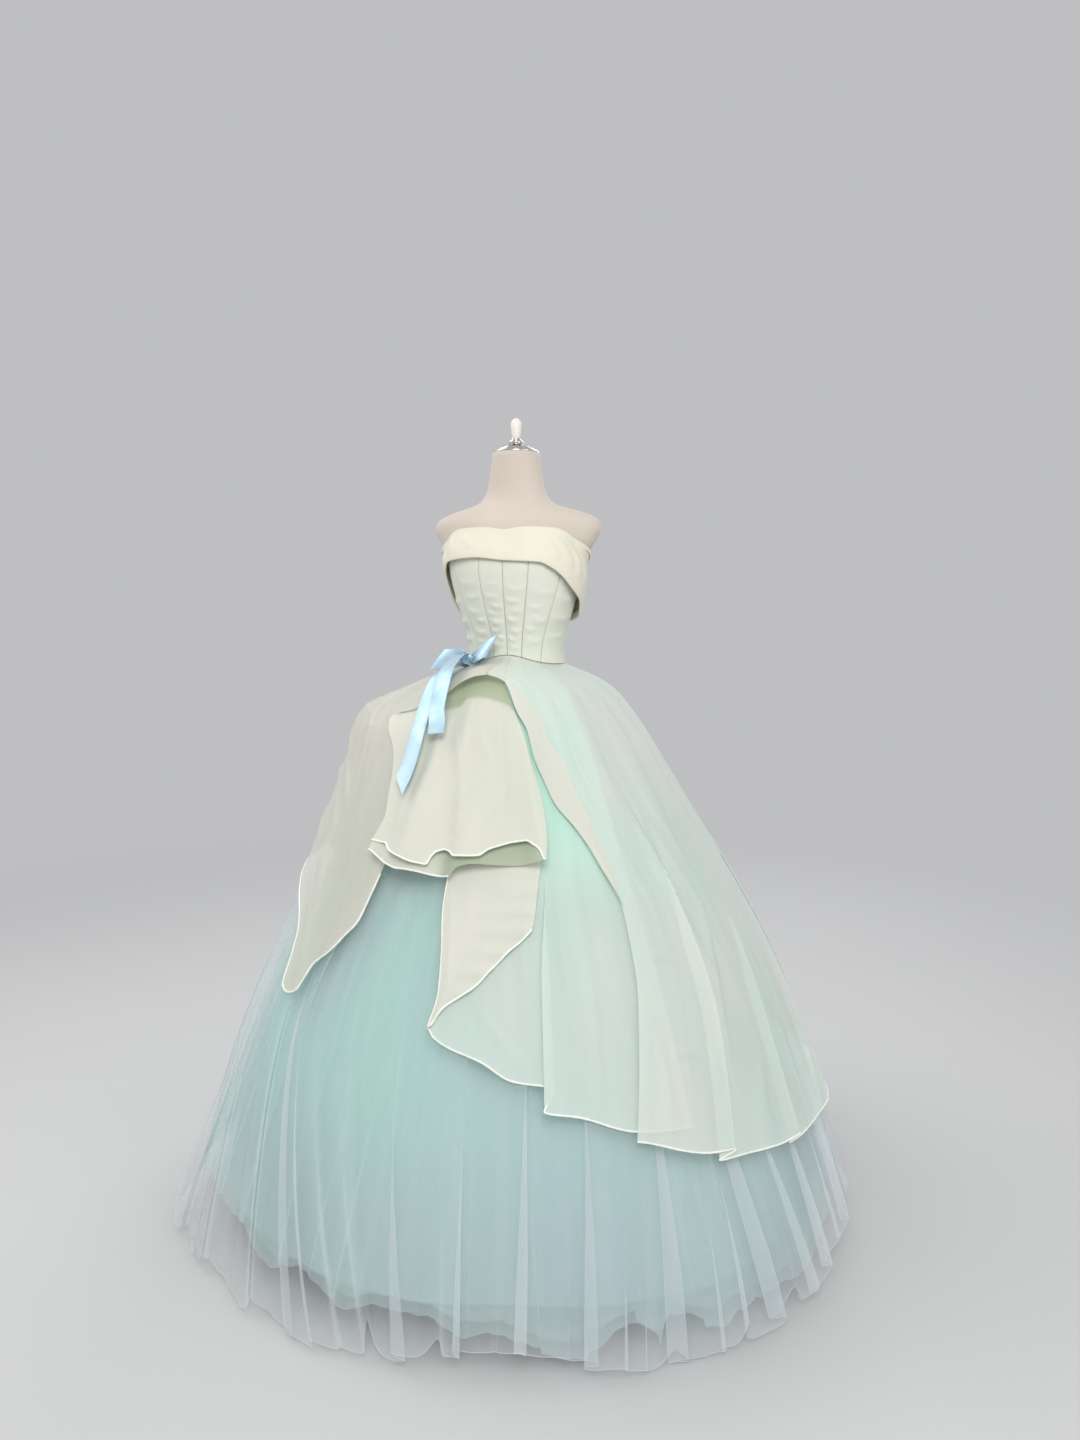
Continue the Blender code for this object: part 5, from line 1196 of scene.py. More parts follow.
organzaCut = {
    "leftEdge": [
        (1.2, -2.5), (1.143, -2.5), (1.14, 3.0), (1.134, 7.0), (1.124, 9.2), (1.085, 13.7),
        (1.051, 18.2), (1.005, 20.2), (0.959, 23.4), (0.918, 26.2), (0.878, 31.0), (0.842, 34.3),
        (0.797, 37.0), (0.762, 39.0), (0.734, 40.0), (0.636, 39.5), (0.51, 37.0), (0.36, 34.0),
    ],
    "longHem": [
        (30.0, 0.365), (34.0, 0.36), (43.0, 0.328), (52.0, 0.3), (60.0, 0.286), (70.0, 0.273),
        (100.0, 0.255), (140.0, 0.262), (180.0, 0.285), (210.0, 0.36), (235.0, 0.52), (250.0, 0.65),
        (266.0, 0.735),
    ],
    "leftHeights": [1.179, 1.16, 1.143, 1.134, 1.11, 1.085, 1.051, 1.005, 0.94, 0.86, 0.797, 0.734,
                    0.636, 0.51, 0.36],
    "backHeights": [1.179, 1.16, 1.13, 1.09, 1.02, 0.9, 0.7, 0.48, 0.26],
    "bandEdge": [
        (1.134, 11.4), (1.106, 18.0), (1.081, 24.3), (1.032, 26.8), (0.994, 31.3), (0.948, 33.2),
        (0.894, 36.0), (0.84, 38.2), (0.786, 39.6), (0.734, 40.3),
    ],
    "rightEdge": [
        (1.2, -2.5), (1.143, -2.5), (1.14, -8.0), (1.132, -14.0), (1.124, -17.5), (1.11, -21.5),
        (1.094, -31.0), (1.073, -40.0), (1.06, -46.5), (1.03, -42.0), (1.0, -35.0), (0.96, -32.5),
        (0.93, -31.0), (0.9, -29.0), (0.87, -25.5), (0.84, -24.5), (0.78, -25.5),
    ],
    "pointedHem": [
        (-96.0, 0.735), (-76.0, 0.725), (-57.0, 0.686), (-48.5, 0.645), (-46.0, 0.6), (-44.5, 0.545),
        (-42.0, 0.538), (-39.0, 0.548), (-36.5, 0.6), (-33.0, 0.63), (-29.6, 0.668), (-27.5, 0.692),
        (-26.0, 0.755), (-25.5, 0.78), (-20.0, 0.78),
    ],
    "rightHeights": [1.179, 1.16, 1.143, 1.132, 1.11, 1.094, 1.073, 1.06, 1.02, 0.96, 0.9, 0.84, 0.78],
    "rightHemShare": 2.4,
    "rightShares": [0.0, 0.216, 0.388, 0.532, 0.662, 0.705, 0.763, 0.82, 0.892, 0.95, 1.0],
    "underEdge": [
        (1.2, 6.4), (1.1, 6.4), (1.01, 4.0), (0.91, -1.0), (0.83, -4.5), (0.755, -4.7), (0.664, -3.2),
        (0.603, -2.6), (0.543, -3.9),
    ],
    "underHem": [
        (-5.0, 0.545), (-3.9, 0.543), (-2.5, 0.529), (0.3, 0.516), (7.2, 0.495), (12.5, 0.468), (18.6, 0.455),
        (20.6, 0.419), (25.8, 0.404), (34.2, 0.375), (46.0, 0.362),
    ],
    "underHeights": [1.179, 1.16, 1.13, 1.085, 1.01, 0.91, 0.83, 0.755, 0.664, 0.603, 0.543],
    "underRight": 45.0,
    "turnHeights": [0.83, 0.812, 0.755, 0.711, 0.664, 0.63, 0.603, 0.57, 0.545],
    "turnEdge": [
        (0.88, 20.8), (0.83, 20.4), (0.809, 20.2), (0.769, 19.1), (0.711, 17.7), (0.691, 15.5), (0.671, 12.2),
        (0.639, 8.2), (0.611, 4.9), (0.578, -0.7), (0.543, -3.4),
    ],
    "leftLaps": [
        (56.4, 0.92, 55.0, 0.6, 49.6, 0.29, 2.4, 3.1, 0.0085),
        (78.0, 0.76, 70.0, 0.54, 66.0, 0.275, 2.2, 3.0, 0.008),
        (94.0, 0.64, 87.0, 0.43, 84.0, 0.26, 2.0, 3.0, 0.008),
    ],
    "underLaps": [(21.6, 0.86, 20.0, 0.62, 19.6, 0.42, 1.9, 2.6, -0.007)],
    "leftCreases": [
        (56.4, 0.9, 56.0, 0.69, 57.5, 0.507, 0.008, 0.004, 2.4),
        (65.7, 0.72, 59.5, 0.586, 55.8, 0.44, 0.008, 0.004, 2.0),
        (41.3, 0.645, 47.0, 0.642, 52.7, 0.627, 0.005, 0.0036, 1.4),
        (43.2, 0.485, 46.0, 0.482, 49.5, 0.471, 0.0048, 0.0044, 1.4),
        (50.5, 0.96, 56.0, 0.76, 59.5, 0.56, 0.006, 0.005, 2.4),
        (62.6, 1.125, 64.9, 0.931, 64.8, 0.74, 0.016, 0.006, 1.8),
        (86.0, 1.08, 92.0, 0.85, 87.0, 0.64, 0.018, 0.007, 1.6),
        (44.9, 1.155, 46.7, 0.999, 50.0, 0.79, 0.014, 0.0045, 2.0),
        (93.0, 0.62, 86.0, 0.453, 85.0, 0.27, 0.014, 0.008, 1.8),
        (75.0, 0.46, 74.0, 0.36, 77.0, 0.27, 0.012, 0.006, 1.6),
        (64.0, 0.43, 61.0, 0.35, 62.0, 0.285, 0.011, 0.0055, 1.8),
        (40.0, 0.56, 41.0, 0.45, 40.0, 0.335, 0.012, 0.004, 1.8),
        (30.0, 1.12, 33.0, 1.0, 38.0, 0.86, 0.012, 0.003, 1.8),
        (72.0, 1.13, 78.0, 1.0, 80.0, 0.86, 0.015, 0.0045, 1.8),
    ],
    "rightCreases": [
        (-62.0, 1.11, -48.0, 0.946, -38.0, 0.755, 0.012, 0.007, 2.2),
        (-54.0, 1.04, -42.0, 0.92, -37.6, 0.78, 0.009, 0.004, 2.0),
        (-72.0, 0.93, -52.0, 0.77, -42.0, 0.64, 0.012, 0.0065, 2.0),
        (-50.0, 0.7, -43.0, 0.64, -41.0, 0.555, 0.008, 0.0045, 1.6),
        (-29.5, 0.83, -30.5, 0.75, -33.0, 0.65, 0.007, 0.003, 1.8),
        (-84.0, 1.05, -80.0, 0.92, -68.0, 0.76, 0.014, 0.0065, 1.8),
        (-90.0, 1.12, -92.0, 1.0, -88.0, 0.86, 0.014, 0.005, 1.8),
        (-66.0, 1.13, -70.0, 1.06, -78.0, 0.98, 0.012, 0.0045, 1.6),
        (-40.0, 1.06, -38.0, 0.98, -34.5, 0.88, 0.008, 0.003, 1.8),
        (-70.0, 0.955, -62.0, 0.925, -53.0, 0.868, 0.006, 0.006, 1.8),
        (-60.0, 1.04, -56.0, 1.022, -51.5, 1.03, 0.005, 0.0032, 1.6),
        (-80.0, 1.066, -69.0, 1.042, -58.0, 1.05, 0.006, 0.005, 1.6),
        (-90.0, 1.004, -78.0, 0.985, -65.0, 0.952, 0.0065, 0.0065, 1.6),
        (-93.0, 0.934, -81.0, 0.915, -70.0, 0.882, 0.0065, 0.006, 1.7),
        (-66.0, 0.884, -58.0, 0.85, -52.0, 0.798, 0.0055, 0.005, 1.7),
        (-86.0, 0.866, -77.0, 0.83, -66.0, 0.788, 0.0065, 0.006, 1.6),
        (-61.0, 0.768, -53.0, 0.722, -46.5, 0.688, 0.0055, 0.0045, 1.6),
    ],
    "underCreases": [
        (-3.3, 0.78, -1.0, 0.657, -1.4, 0.575, 0.006, 0.003, 1.6),
        (17.0, 0.8, 15.9, 0.661, 18.2, 0.49, 0.008, 0.004, 1.8),
        (5.0, 0.59, 10.7, 0.534, 15.0, 0.478, 0.006, 0.0025, 1.8),
        (30.0, 0.62, 29.0, 0.52, 30.0, 0.4, 0.009, 0.004, 2.0),
        (8.0, 0.75, 6.5, 0.67, 3.0, 0.61, 0.007, 0.002, 1.8),
    ],
    # how far the under panel stands off at its top and lower down
    "underRise": (0.005, 0.003),
    # its deep pleat: angle, width, lift
    "pleat": (20.4, 3.0, 0.004),
    "turnLift": 0.006,
    "turnWave": (0.0022, 190.0),
    "flounce": [
        # height, start, end, stand
        (1.2, -20.0, 5.6, 0.0015), (1.179, -20.0, 5.6, 0.0015), (1.145, -24.0, 6.2, 0.0065),
        (1.115, -36.0, 10.4, 0.0095), (1.09, -46.0, 12.8, 0.0125), (1.072, -49.0, 14.4, 0.015),
        (1.055, -48.5, 15.8, 0.0175), (1.03, -44.5, 17.4, 0.0205), (1.0, -37.5, 18.6, 0.023),
        (0.96, -33.5, 20.4, 0.026), (0.919, -31.0, 21.7, 0.03), (0.869, -28.5, 22.2, 0.036),
        (0.815, -29.5, 21.4, 0.044),
    ],
    "flounceHem": [
        (-46.0, 0.815), (-26.9, 0.83), (-24.8, 0.83), (-21.4, 0.817), (-17.1, 0.808), (-12.1, 0.801),
        (-9.4, 0.801), (-8.8, 0.814), (-7.9, 0.826), (-5.8, 0.832), (-4.0, 0.828), (-2.4, 0.82),
        (1.0, 0.819), (4.1, 0.821), (6.5, 0.833), (9.6, 0.842), (12.7, 0.849), (16.4, 0.851),
        (18.4, 0.842), (20.1, 0.828), (20.5, 0.815),
    ],
    "flounceHeights": [1.179, 1.16, 1.135, 1.105, 1.08, 1.06, 1.04, 1.01, 0.96, 0.89, 0.815],
    "flounceWaves": [(-25.5, 3.0, -0.006), (-15.0, 5.0, 0.014), (-6.2, 3.0, -0.012), (1.5, 4.5, 0.008),
                     (13.5, 4.5, -0.01), (20.5, 2.5, 0.008)],
    "flounceCreases": [
        (-16.6, 1.09, -17.0, 0.964, -18.5, 0.85, 0.009, 0.0055, 2.0),
        (-9.2, 1.11, -5.0, 0.968, -3.3, 0.855, 0.008, 0.006, 2.0),
        (5.0, 1.11, 9.5, 0.97, 9.3, 0.86, 0.008, 0.0048, 1.8),
        (15.4, 1.07, 18.5, 0.97, 19.1, 0.86, 0.007, 0.0045, 1.8),
        (-27.0, 1.06, -24.0, 0.96, -24.0, 0.86, 0.008, 0.0045, 1.8),
        (6.0, 0.985, 0.5, 0.945, -4.0, 0.9, 0.006, 0.003, 1.8),
        (14.0, 0.96, 8.0, 0.915, 4.0, 0.87, 0.0055, 0.0028, 1.8),
        (-30.0, 1.02, -26.0, 0.99, -21.0, 0.975, 0.006, 0.0025, 1.8),
        (-12.0, 1.04, -8.0, 1.01, -6.0, 0.965, 0.006, 0.0024, 1.8),
        (-1.0, 1.07, 2.0, 1.02, 7.0, 0.985, 0.0065, 0.0026, 1.8),
    ],
    "underfoldHem": [(-28.2, 0.812), (-25.7, 0.804), (-22.0, 0.795), (-17.1, 0.789), (-13.0, 0.789),
                     (-9.0, 0.788), (-3.5, 0.788), (-1.5, 0.802), (4.0, 0.809), (12.0, 0.81), (20.5, 0.812)],
    # where the painted shade under the arch ends on the flounce: angle, height
    "flounceTop": [(-21.3, 1.091), (-14.2, 1.099), (-12.0, 1.115), (-4.6, 1.117), (3.5, 1.111),
                   (10.3, 1.102), (12.5, 1.094)],
    # the flounce runs behind the arch at its top and comes forward lower down
    "flounceTucked": -0.004,
    "flounceClear": 0.005,
    "underfoldTop": 0.866,
    "underfoldTo": 20.2,
    "underfoldBehind": (0.0018, 0.012),
    "facingLift": [0.0, 0.003, 0.0005],
    # how the long hem sways: size, pace, shift
    "hemSway": (0.004, 17.0, 0.8),
    # random folds of the back: spacing, share that lap, how deep a lap sinks
    "backFolds": (6.5, 0.45, 0.008),
    # where the right back turns to the hip panel's darker tone, which is partly painted shade: from, span
    "warmShadedSide": (205.0, 55.0),
    # columns and step down of the facing and the turned-back corner
    "foldedEdge": (25, 0.005),
    "turnback": (46, 0.0045),
    # columns and rows
    "underfold": (110, 22),
    # the row or column of the grid where a rolled hem starts or ends
    "underBeadFrom": 40,
    "turnBeadFrom": 28,
    "underfoldBeadTo": 57,
    "beadRadius": 0.0019,
    "beadRoll": 0.22,
    # step down and number of columns of each grid
    "grid": {"left": (0.0058, 300), "right": (0.0048, 221), "back": (0.011, 230), "under": (0.0065, 180),
             "flounce": (0.005, 130)},
    # cut size of each piece: width, length, area
    "flat": {
        "overskirtLeftFront": (1.01, 1.13, 0.618), "overskirtRightFront": (0.88, 0.97, 0.268),
        "overskirtLeftBack": (1.22, 1.13, 0.788), "overskirtRightBack": (1.26, 1.11, 0.623),
        "overskirtFacing": (0.055, 0.511, 0.0162), "underPanel": (0.59, 0.99, 0.285),
        "underPanelTurnback": (0.176, 0.406, 0.039), "flouncePanel": (0.45, 0.58, 0.123),
        "flounceUnderfold": (0.4, 0.089, 0.0275),
    },
}


def lapped(angle, height, laps):
    # Laps: each row holds the angle and height at the start, middle and end, the width in
    # degrees, how far the cloth doubles back and how deep.
    turn = np.zeros(angle.shape)
    sink = np.zeros(angle.shape)
    for a0, h0, a1, h1, a2, h2, width, depth, sunk in laps:
        centre = softCurve([(h2, a2), (h1, a1), (h0, a0)])(height)
        x = (angle - centre) / width
        pull = x * np.exp(-x * x) * ease(h0 - height, 0.0, h0 - h1)
        turn = turn - depth * width * pull
        sink = sink - sunk * pull
    return turn, sink


def panelGrid(heights, shares, start, end, hem, stand, laps=(), hemShare=overCut["hemShare"]):
    # Rows of a panel between two edges given by height; its hem is given by angle. A larger
    # hemShare keeps the rows level for longer before they turn to follow the hem.
    nominal = heights[:, None]
    drop = bodiceCut["waist"] - nominal
    fall = drop / (bodiceCut["waist"] - heights[-1])
    rise = 1.0 - ease(drop, 0.0, overCut["riseFade"])

    def heightAt(angle):
        level = nominal + (waistHeight(angle) - bodiceCut["waist"]) * rise
        return level + (hem(angle) - heights[-1]) * fall ** hemShare

    def edgeAngle(edge):
        # where each row meets the edge, found by halving
        low, high = edge(nominal) - 30.0, edge(nominal) + 30.0
        for _ in range(24):
            middle = 0.5 * (low + high)
            past = middle > edge(heightAt(middle))
            low, high = np.where(past, low, middle), np.where(past, middle, high)
        return 0.5 * (low + high)

    first, last = edgeAngle(start), edgeAngle(end)
    gap = np.degrees(0.5 * overCut["seamGap"] / skirtReach(first, heightAt(first)))
    angle = mix(first + gap, last - gap, shares[None, :])
    height = heightAt(angle)
    turn, sink = lapped(angle, height, laps)
    return onSkirt(angle + turn, height, stand(angle + turn, height) + sink)


def alwaysAt(angle):
    return lambda height: np.full(np.shape(height), angle)


def organzaLine(name, column=1):
    return softCurve(organzaCut[name], column)


def gridOf(part):
    # heights down a panel and shares across it
    step, columns = organzaCut["grid"][part]
    return finer(organzaCut[part + "Heights"], step), np.linspace(0.0, 1.0, columns)


def organzaPanel(name, nodes, points, bead, finish="organza",
                 mark=None):
    piece = clothSheet(name, points, mark=mark)
    settle(piece, finishes[finish], nodes)
    for i, line in enumerate(bead):
        hem = cordOver(name + "Hem" + str(i + 1), line, organzaCut["beadRadius"], 2, organzaCut["beadRoll"])
        settle(hem, finishes["bead"])


def swayingStand(creases):
    # how far a creased panel stands off, with the sway of its long hem
    def stand(angle, height):
        size, pace, shift = organzaCut["hemSway"]
        sway = size * np.sin(np.radians(angle) * pace + shift) * ease(-height, -0.5, 0.22)
        return overStand(angle, height) + creaseLift(angle, height, creases) + sway

    return stand


def backFolds(first, last, seed):
    # creases and laps like those in front, at random places between two seams
    longHem = organzaLine("longHem")
    pitch, lapShare, sunk = organzaCut["backFolds"]
    draw = np.random.default_rng(seed)
    creases, laps = [], []
    for middle in np.arange(first + 5.0, last - 3.0, pitch):
        top = draw.uniform(0.85, 1.08)
        low = float(longHem(middle)) + draw.uniform(0.0, 0.12)
        shift = draw.uniform(-3.0, 3.0)
        creases.append((middle - shift, top, middle, 0.5 * (top + low), middle + shift, low,
                        draw.uniform(0.011, 0.018), draw.uniform(0.004, 0.009), draw.uniform(1.3, 2.2)))
        if draw.random() < lapShare:
            laps.append((middle - shift, top - 0.15, middle, 0.55 * top + 0.4 * low, middle + shift,
                         low - 0.15, draw.uniform(1.4, 2.4), draw.uniform(2.6, 3.2), sunk))
    return creases, laps


def overskirt():
    cut = organzaCut
    longHem, leftEdge = organzaLine("longHem"), organzaLine("leftEdge")
    leftStand = swayingStand(cut["leftCreases"])

    def rightStand(angle, height):
        return overStand(angle, height) + creaseLift(angle, height, cut["rightCreases"])

    points = panelGrid(*gridOf("left"), leftEdge, alwaysAt(overCut["leftSeam"]), longHem, leftStand,
                       cut["leftLaps"])
    organzaPanel("overskirtLeftFront", ["overskirt_left_front"], points, [points[-1]])
    rows, shares = gridOf("right")
    shares = np.interp(shares, np.linspace(0.0, 1.0, 11), cut["rightShares"])
    points = panelGrid(rows, shares, alwaysAt(overCut["rightSeam"]), organzaLine("rightEdge"),
                       organzaLine("pointedHem"), rightStand, hemShare=cut["rightHemShare"])
    organzaPanel("overskirtRightFront", ["overskirt_right_front"], points, [points[-1]], "organzaWarmShaded")
    backs = [
        ("overskirtLeftBack", "overskirt_left_back", overCut["leftSeam"], 180.0, 61),
        ("overskirtRightBack", "overskirt_right_back", 180.0, 360.0 + overCut["rightSeam"], 67),
    ]
    for name, node, first, last, seed in backs:
        creases, laps = backFolds(first, last, seed)
        rows, shares = gridOf("back")
        points = panelGrid(rows, shares, alwaysAt(first), alwaysAt(last), longHem, swayingStand(creases),
                           laps)
        # the right back darkens towards the hip panel's tone, which is partly painted shade
        warmShaded = ease(mix(first, last, shares), *cut["warmShadedSide"])
        organzaPanel(name, [node], points, [points[-1]], "organzaBack", mark=warmShaded)
    # turned-back facing on the free edge of the left front
    columns, step = cut["foldedEdge"]
    height = finer([row[0] for row in cut["bandEdge"]], step)[:, None]
    share = crosswise(columns)
    angle = mix(leftEdge(height) + 0.15, organzaLine("bandEdge")(height), share)
    lift = np.interp(share, [0.0, 0.5, 1.0], cut["facingLift"])
    points = onSkirt(angle, height, leftStand(angle, height) + overCut["lap"] + lift)
    organzaPanel("overskirtFacing", ["overskirt_edge_facing"], points, [], "organzaFold")
    print("overskirt made")


def underStand(angle, height):
    drop = dropAt(angle, height)
    rise, lowerRise = organzaCut["underRise"]
    stand = mix(-skirtCut["stackPitch"], rise, ease(drop, 0.0, 0.07))
    stand = stand + lowerRise * ease(drop, 0.1, 0.2) + clearedGathers(drop)
    place, width, lift = organzaCut["pleat"]
    return stand + lift * bell(angle, place, width) * ease(drop, 0.25, 0.25)


def underPanel():
    cut, edge = organzaCut, organzaLine("underEdge")

    def stand(angle, height):
        return underStand(angle, height) + creaseLift(angle, height, cut["underCreases"])

    points = panelGrid(*gridOf("under"), edge, alwaysAt(cut["underRight"]), organzaLine("underHem"),
                       stand, cut["underLaps"])
    # mint painted high on the under panel: partly the underskirt showing through, partly painted light
    # glowing through the layers where shade falls
    paintedMintGlow = 0.75 * ease(points[..., 2], 0.66, 0.26)
    beads = [points[-1], points[cut["underBeadFrom"]:, 0]]
    organzaPanel("underPanel", ["under_panel"], points, beads, "organzaMint", mark=paintedMintGlow)
    columns, step = cut["turnback"]
    height = finer(cut["turnHeights"], step)[:, None]
    share = crosswise(columns)
    angle = mix(edge(height) + 0.2, organzaLine("turnEdge")(height), share)
    lift = cut["turnLift"] * np.sin(0.5 * math.pi * np.minimum(share * 1.4, 1.0))
    size, pace = cut["turnWave"]
    wavy = size * np.sin(height * pace) * share ** 2
    points = onSkirt(angle, height, stand(angle, height) + overCut["lap"] + lift + wavy)
    beads = [points[cut["turnBeadFrom"]:, -1], points[-1]]
    organzaPanel("underPanelTurnback", ["under_panel_turnback"], points, beads, "organzaFold")
    print("under panel made")


def flouncePieces():
    cut = organzaCut
    start, end, standOff = (organzaLine("flounce", i) for i in (1, 2, 3))

    def stand(angle, height):
        wave = sum(lift * bell(angle, centre, width) for centre, width, lift in cut["flounceWaves"])
        free = standOff(height) + wave * ease(-height, -1.0, 0.17)
        over = np.maximum(cut["flounceClear"], free - overCut["stand"])
        crossed = mix(cut["flounceTucked"], over, ease(-height, -1.066, 0.022))
        outer = overStand(angle, height) + crossed
        full = mix(free, outer, ease(-angle, 20.0, 11.0))
        full = full + creaseLift(angle, height, cut["flounceCreases"])
        return mix(-skirtCut["stackPitch"], full, ease(dropAt(angle, height), 0.0, 0.03))

    points = panelGrid(*gridOf("flounce"), start, end, organzaLine("flounceHem"), stand)
    angle = np.degrees(np.arctan2(points[..., 0], -points[..., 1]))
    # painted shade: above the flounceTop line the flounce takes the olive of the arch's shadow
    shaded = ease(points[..., 2] - organzaLine("flounceTop")(angle), 0.0, 0.006)
    organzaPanel("flouncePanel", ["flounce"], points, [points[-1]], "organzaDouble",
                 shaded)
    columns, rows = cut["underfold"]
    across = crosswise(columns)
    angle = mix(start(cut["flounceHeights"][-1]) + 0.6, cut["underfoldTo"], across)
    height = mix(cut["underfoldTop"], organzaLine("underfoldHem")(angle), downward(rows))
    behind = mix(*cut["underfoldBehind"], ease(5.0 * across, 0.0, 1.0) * (1.0 - ease(across, 0.9, 0.1)))
    points = onSkirt(angle, height, stand(angle, height) - behind)
    # painted shade: the underfold darkens towards its right, where it lies deep in the flounce's pocket
    shaded = mix(0.25, 1.0, ease(angle, -9.0, 6.0))
    organzaPanel("flounceUnderfold", ["flounce_underfold"], points,
                 [points[-1, :cut["underfoldBeadTo"]]], "organzaFold",
                 shaded)
    print("flounce made")


# Bow

bowCut = {
    "ribbon": 0.037,
    "wall": 0.0007,
    "knotAngle": -49.0,
    "knotHeight": 1.19,
    "knotSize": (0.026, 0.013, 0.019),
    "knotStand": 0.014,
    "knotPower": 3.4,
    # rows and columns
    "loopGrid": (90, 31),
    "tailGrid": (110, 27),
    # how far the cloth bends: at the knot, in the middle of a loop, along and across a tail
    "pucker": 0.0011,
    "belly": 0.0016,
    "curl": 0.0026,
    "pinch": 0.0014,
    "knotFolds": 0.07,
    "knotWaist": 0.1,
    "loopGap": 0.0006,
    "tailOut": 0.003,
    "tailBelow": 0.001,
    "threads": 9,
    "threadRadius": 0.00022,
    # distance from the knot, distance outwards, share of the width
    "loopRows": [
        (0.0, -0.0034, 0.4), (0.012, -0.004, 0.62), (0.03, -0.003, 0.92), (0.048, -0.0005, 1.0),
        (0.058, 0.0025, 0.98), (0.06, 0.006, 0.96), (0.054, 0.01, 0.98), (0.036, 0.012, 0.96),
        (0.016, 0.0085, 0.66), (0.0, 0.0036, 0.42),
    ],
    # side, tilt, lean, roll, slant, size, cut size
    "loops": [("bowLoopRight", "bow_loop_right", -1.0, -3.0, 31.0, 16.0, -0.6, 1.25, (0.046, 0.15, 0.0061)),
              ("bowLoopLeft", "bow_loop_left", 1.0, 25.0, -13.0, 26.0, 0.6, 1.18, (0.044, 0.14, 0.0054))],
    # angle, height, stand, share of the width
    "longTail": [
        (-43.0, 1.165, 0.022, 0.85), (-36.5, 1.14, 0.031, 1.0), (-32.0, 1.108, 0.034, 1.0),
        (-29.2, 1.078, 0.036, 1.0), (-27.0, 1.045, 0.038, 1.0), (-25.3, 1.005, 0.041, 1.0),
        (-24.6, 0.965, 0.044, 1.0), (-24.9, 0.93, 0.048, 1.0),
    ],
    "shortTail": [
        (-34.5, 1.168, 0.036, 0.9), (-25.5, 1.14, 0.047, 1.0), (-21.6, 1.105, 0.048, 1.0),
        (-20.0, 1.075, 0.047, 1.0), (-17.5, 1.05, 0.048, 1.0), (-16.4, 1.03, 0.048, 1.0),
    ],
    # name, node, table, sideways start, half width at the knot, slant of the end, cut size
    "tails": [("bowTailLong", "bow_tail_long", "longTail", -0.005, 0.0075, 0.016, (0.037, 0.4, 0.0135)),
              ("bowTailShort", "bow_tail_short", "shortTail", 0.0075, 0.0075, 0.002, (0.037, 0.3, 0.0101))],
}


upward = np.array((0.0, 0.0, 1.0))


def knotPlace():
    angle, height = bowCut["knotAngle"], bowCut["knotHeight"]
    out = around(angle, 0.0, 1.0)
    along = np.cross(upward, out)
    reach = float(bodiceReach(np.array(angle), np.array(height)))
    return around(angle, height, reach + bowCut["knotStand"]), along, out


def throughPoints(points, count):
    # evenly parted places on a smooth line through the points
    points = np.array(points)
    along = walked(points)
    at = np.linspace(0.0, along[-1], count)
    columns = [softCurve(list(zip(along, column)))(at) for column in points.T]
    return np.stack(columns, axis=1), at / along[-1]


def ribbonPiece(name, node, points):
    piece = clothSheet(name, points, wall=bowCut["wall"])
    settle(piece, finishes["ribbon"], [node])


def bowKnot(place, along, out):
    # a ball pressed to a soft block, with the folds of the ribbon that wraps it
    cut = bowCut
    deselectAll()
    bpy.ops.mesh.primitive_uv_sphere_add(segments=56, ring_count=40, radius=1.0)
    knot = bpy.context.object
    knot.name = "bowKnot"
    ball = np.array([tuple(v.co) for v in knot.data.vertices])
    power = cut["knotPower"]
    block = ball * (np.abs(ball) ** power).sum(1, keepdims=True) ** (-1.0 / power)
    wraps = np.sin(block[:, :1] * 7.0 + 0.9 * block[:, 2:]) * (1.0 - block[:, :1] ** 4)
    folds = 1.0 + cut["knotFolds"] * wraps
    waist = 1.0 - cut["knotWaist"] * (1.0 - block[:, :1] ** 2)
    half = np.array(cut["knotSize"]) * 0.5
    shaped = np.hstack([block[:, :1], block[:, 1:2] * folds, block[:, 2:] * waist * folds]) * half
    shaped = place + shaped[:, :1] * along + shaped[:, 1:2] * out + shaped[:, 2:] * upward
    knot.data.vertices.foreach_set("co", packed(shaped))
    knot.data.update()
    cleaned(knot)
    settle(knot, finishes["ribbon"], ["bow_knot"])


def loopPoints(place, along, out, side, tilt, lean, roll, slant, size):
    cut = bowCut
    ribbon, (count, columns) = cut["ribbon"], cut["loopGrid"]
    turn, tip = math.radians(tilt), math.radians(lean)
    ahead = along * side * math.cos(turn) + upward * math.sin(turn)
    upright = np.cross(out, ahead) * side
    ahead = ahead * math.cos(tip) + out * math.sin(tip)
    endRise = 0.5 * ribbon * cut["loopRows"][0][2] * abs(math.sin(turn))
    start = place + along * side * (0.5 * cut["knotSize"][0] + cut["loopGap"] + endRise)
    line, _ = throughPoints(cut["loopRows"], count)
    across = np.linspace(-1.0, 1.0, columns)
    turnedIn = ease(line[:, 0], 0.0, 0.03)
    tilted = np.radians(roll) * turnedIn[:, None]
    wide = upright * np.cos(tilted) - out * np.sin(tilted)
    middle = start + ahead * line[:, :1] * size + out * line[:, 1:2]
    half = 0.5 * ribbon * line[:, 2] * size
    points = middle[:, None] + wide[:, None] * half[:, None, None] * across[None, :, None]
    points = points + ahead * (slant * half * turnedIn)[:, None, None] * across[None, :, None]
    nearKnot = (1.0 - ease(line[:, 0], 0.004, 0.034))[:, None]
    pucker = cut["pucker"] * np.sin(across * 7.5 + 0.6)[None, :] * nearKnot
    belly = cut["belly"] * np.cos(across * 1.57)[None, :] * ease(line[:, 0], 0.01, 0.03)[:, None]
    points = points + out * (pucker + belly)[..., None]
    return points[:, ::-1] if side < 0.0 else points


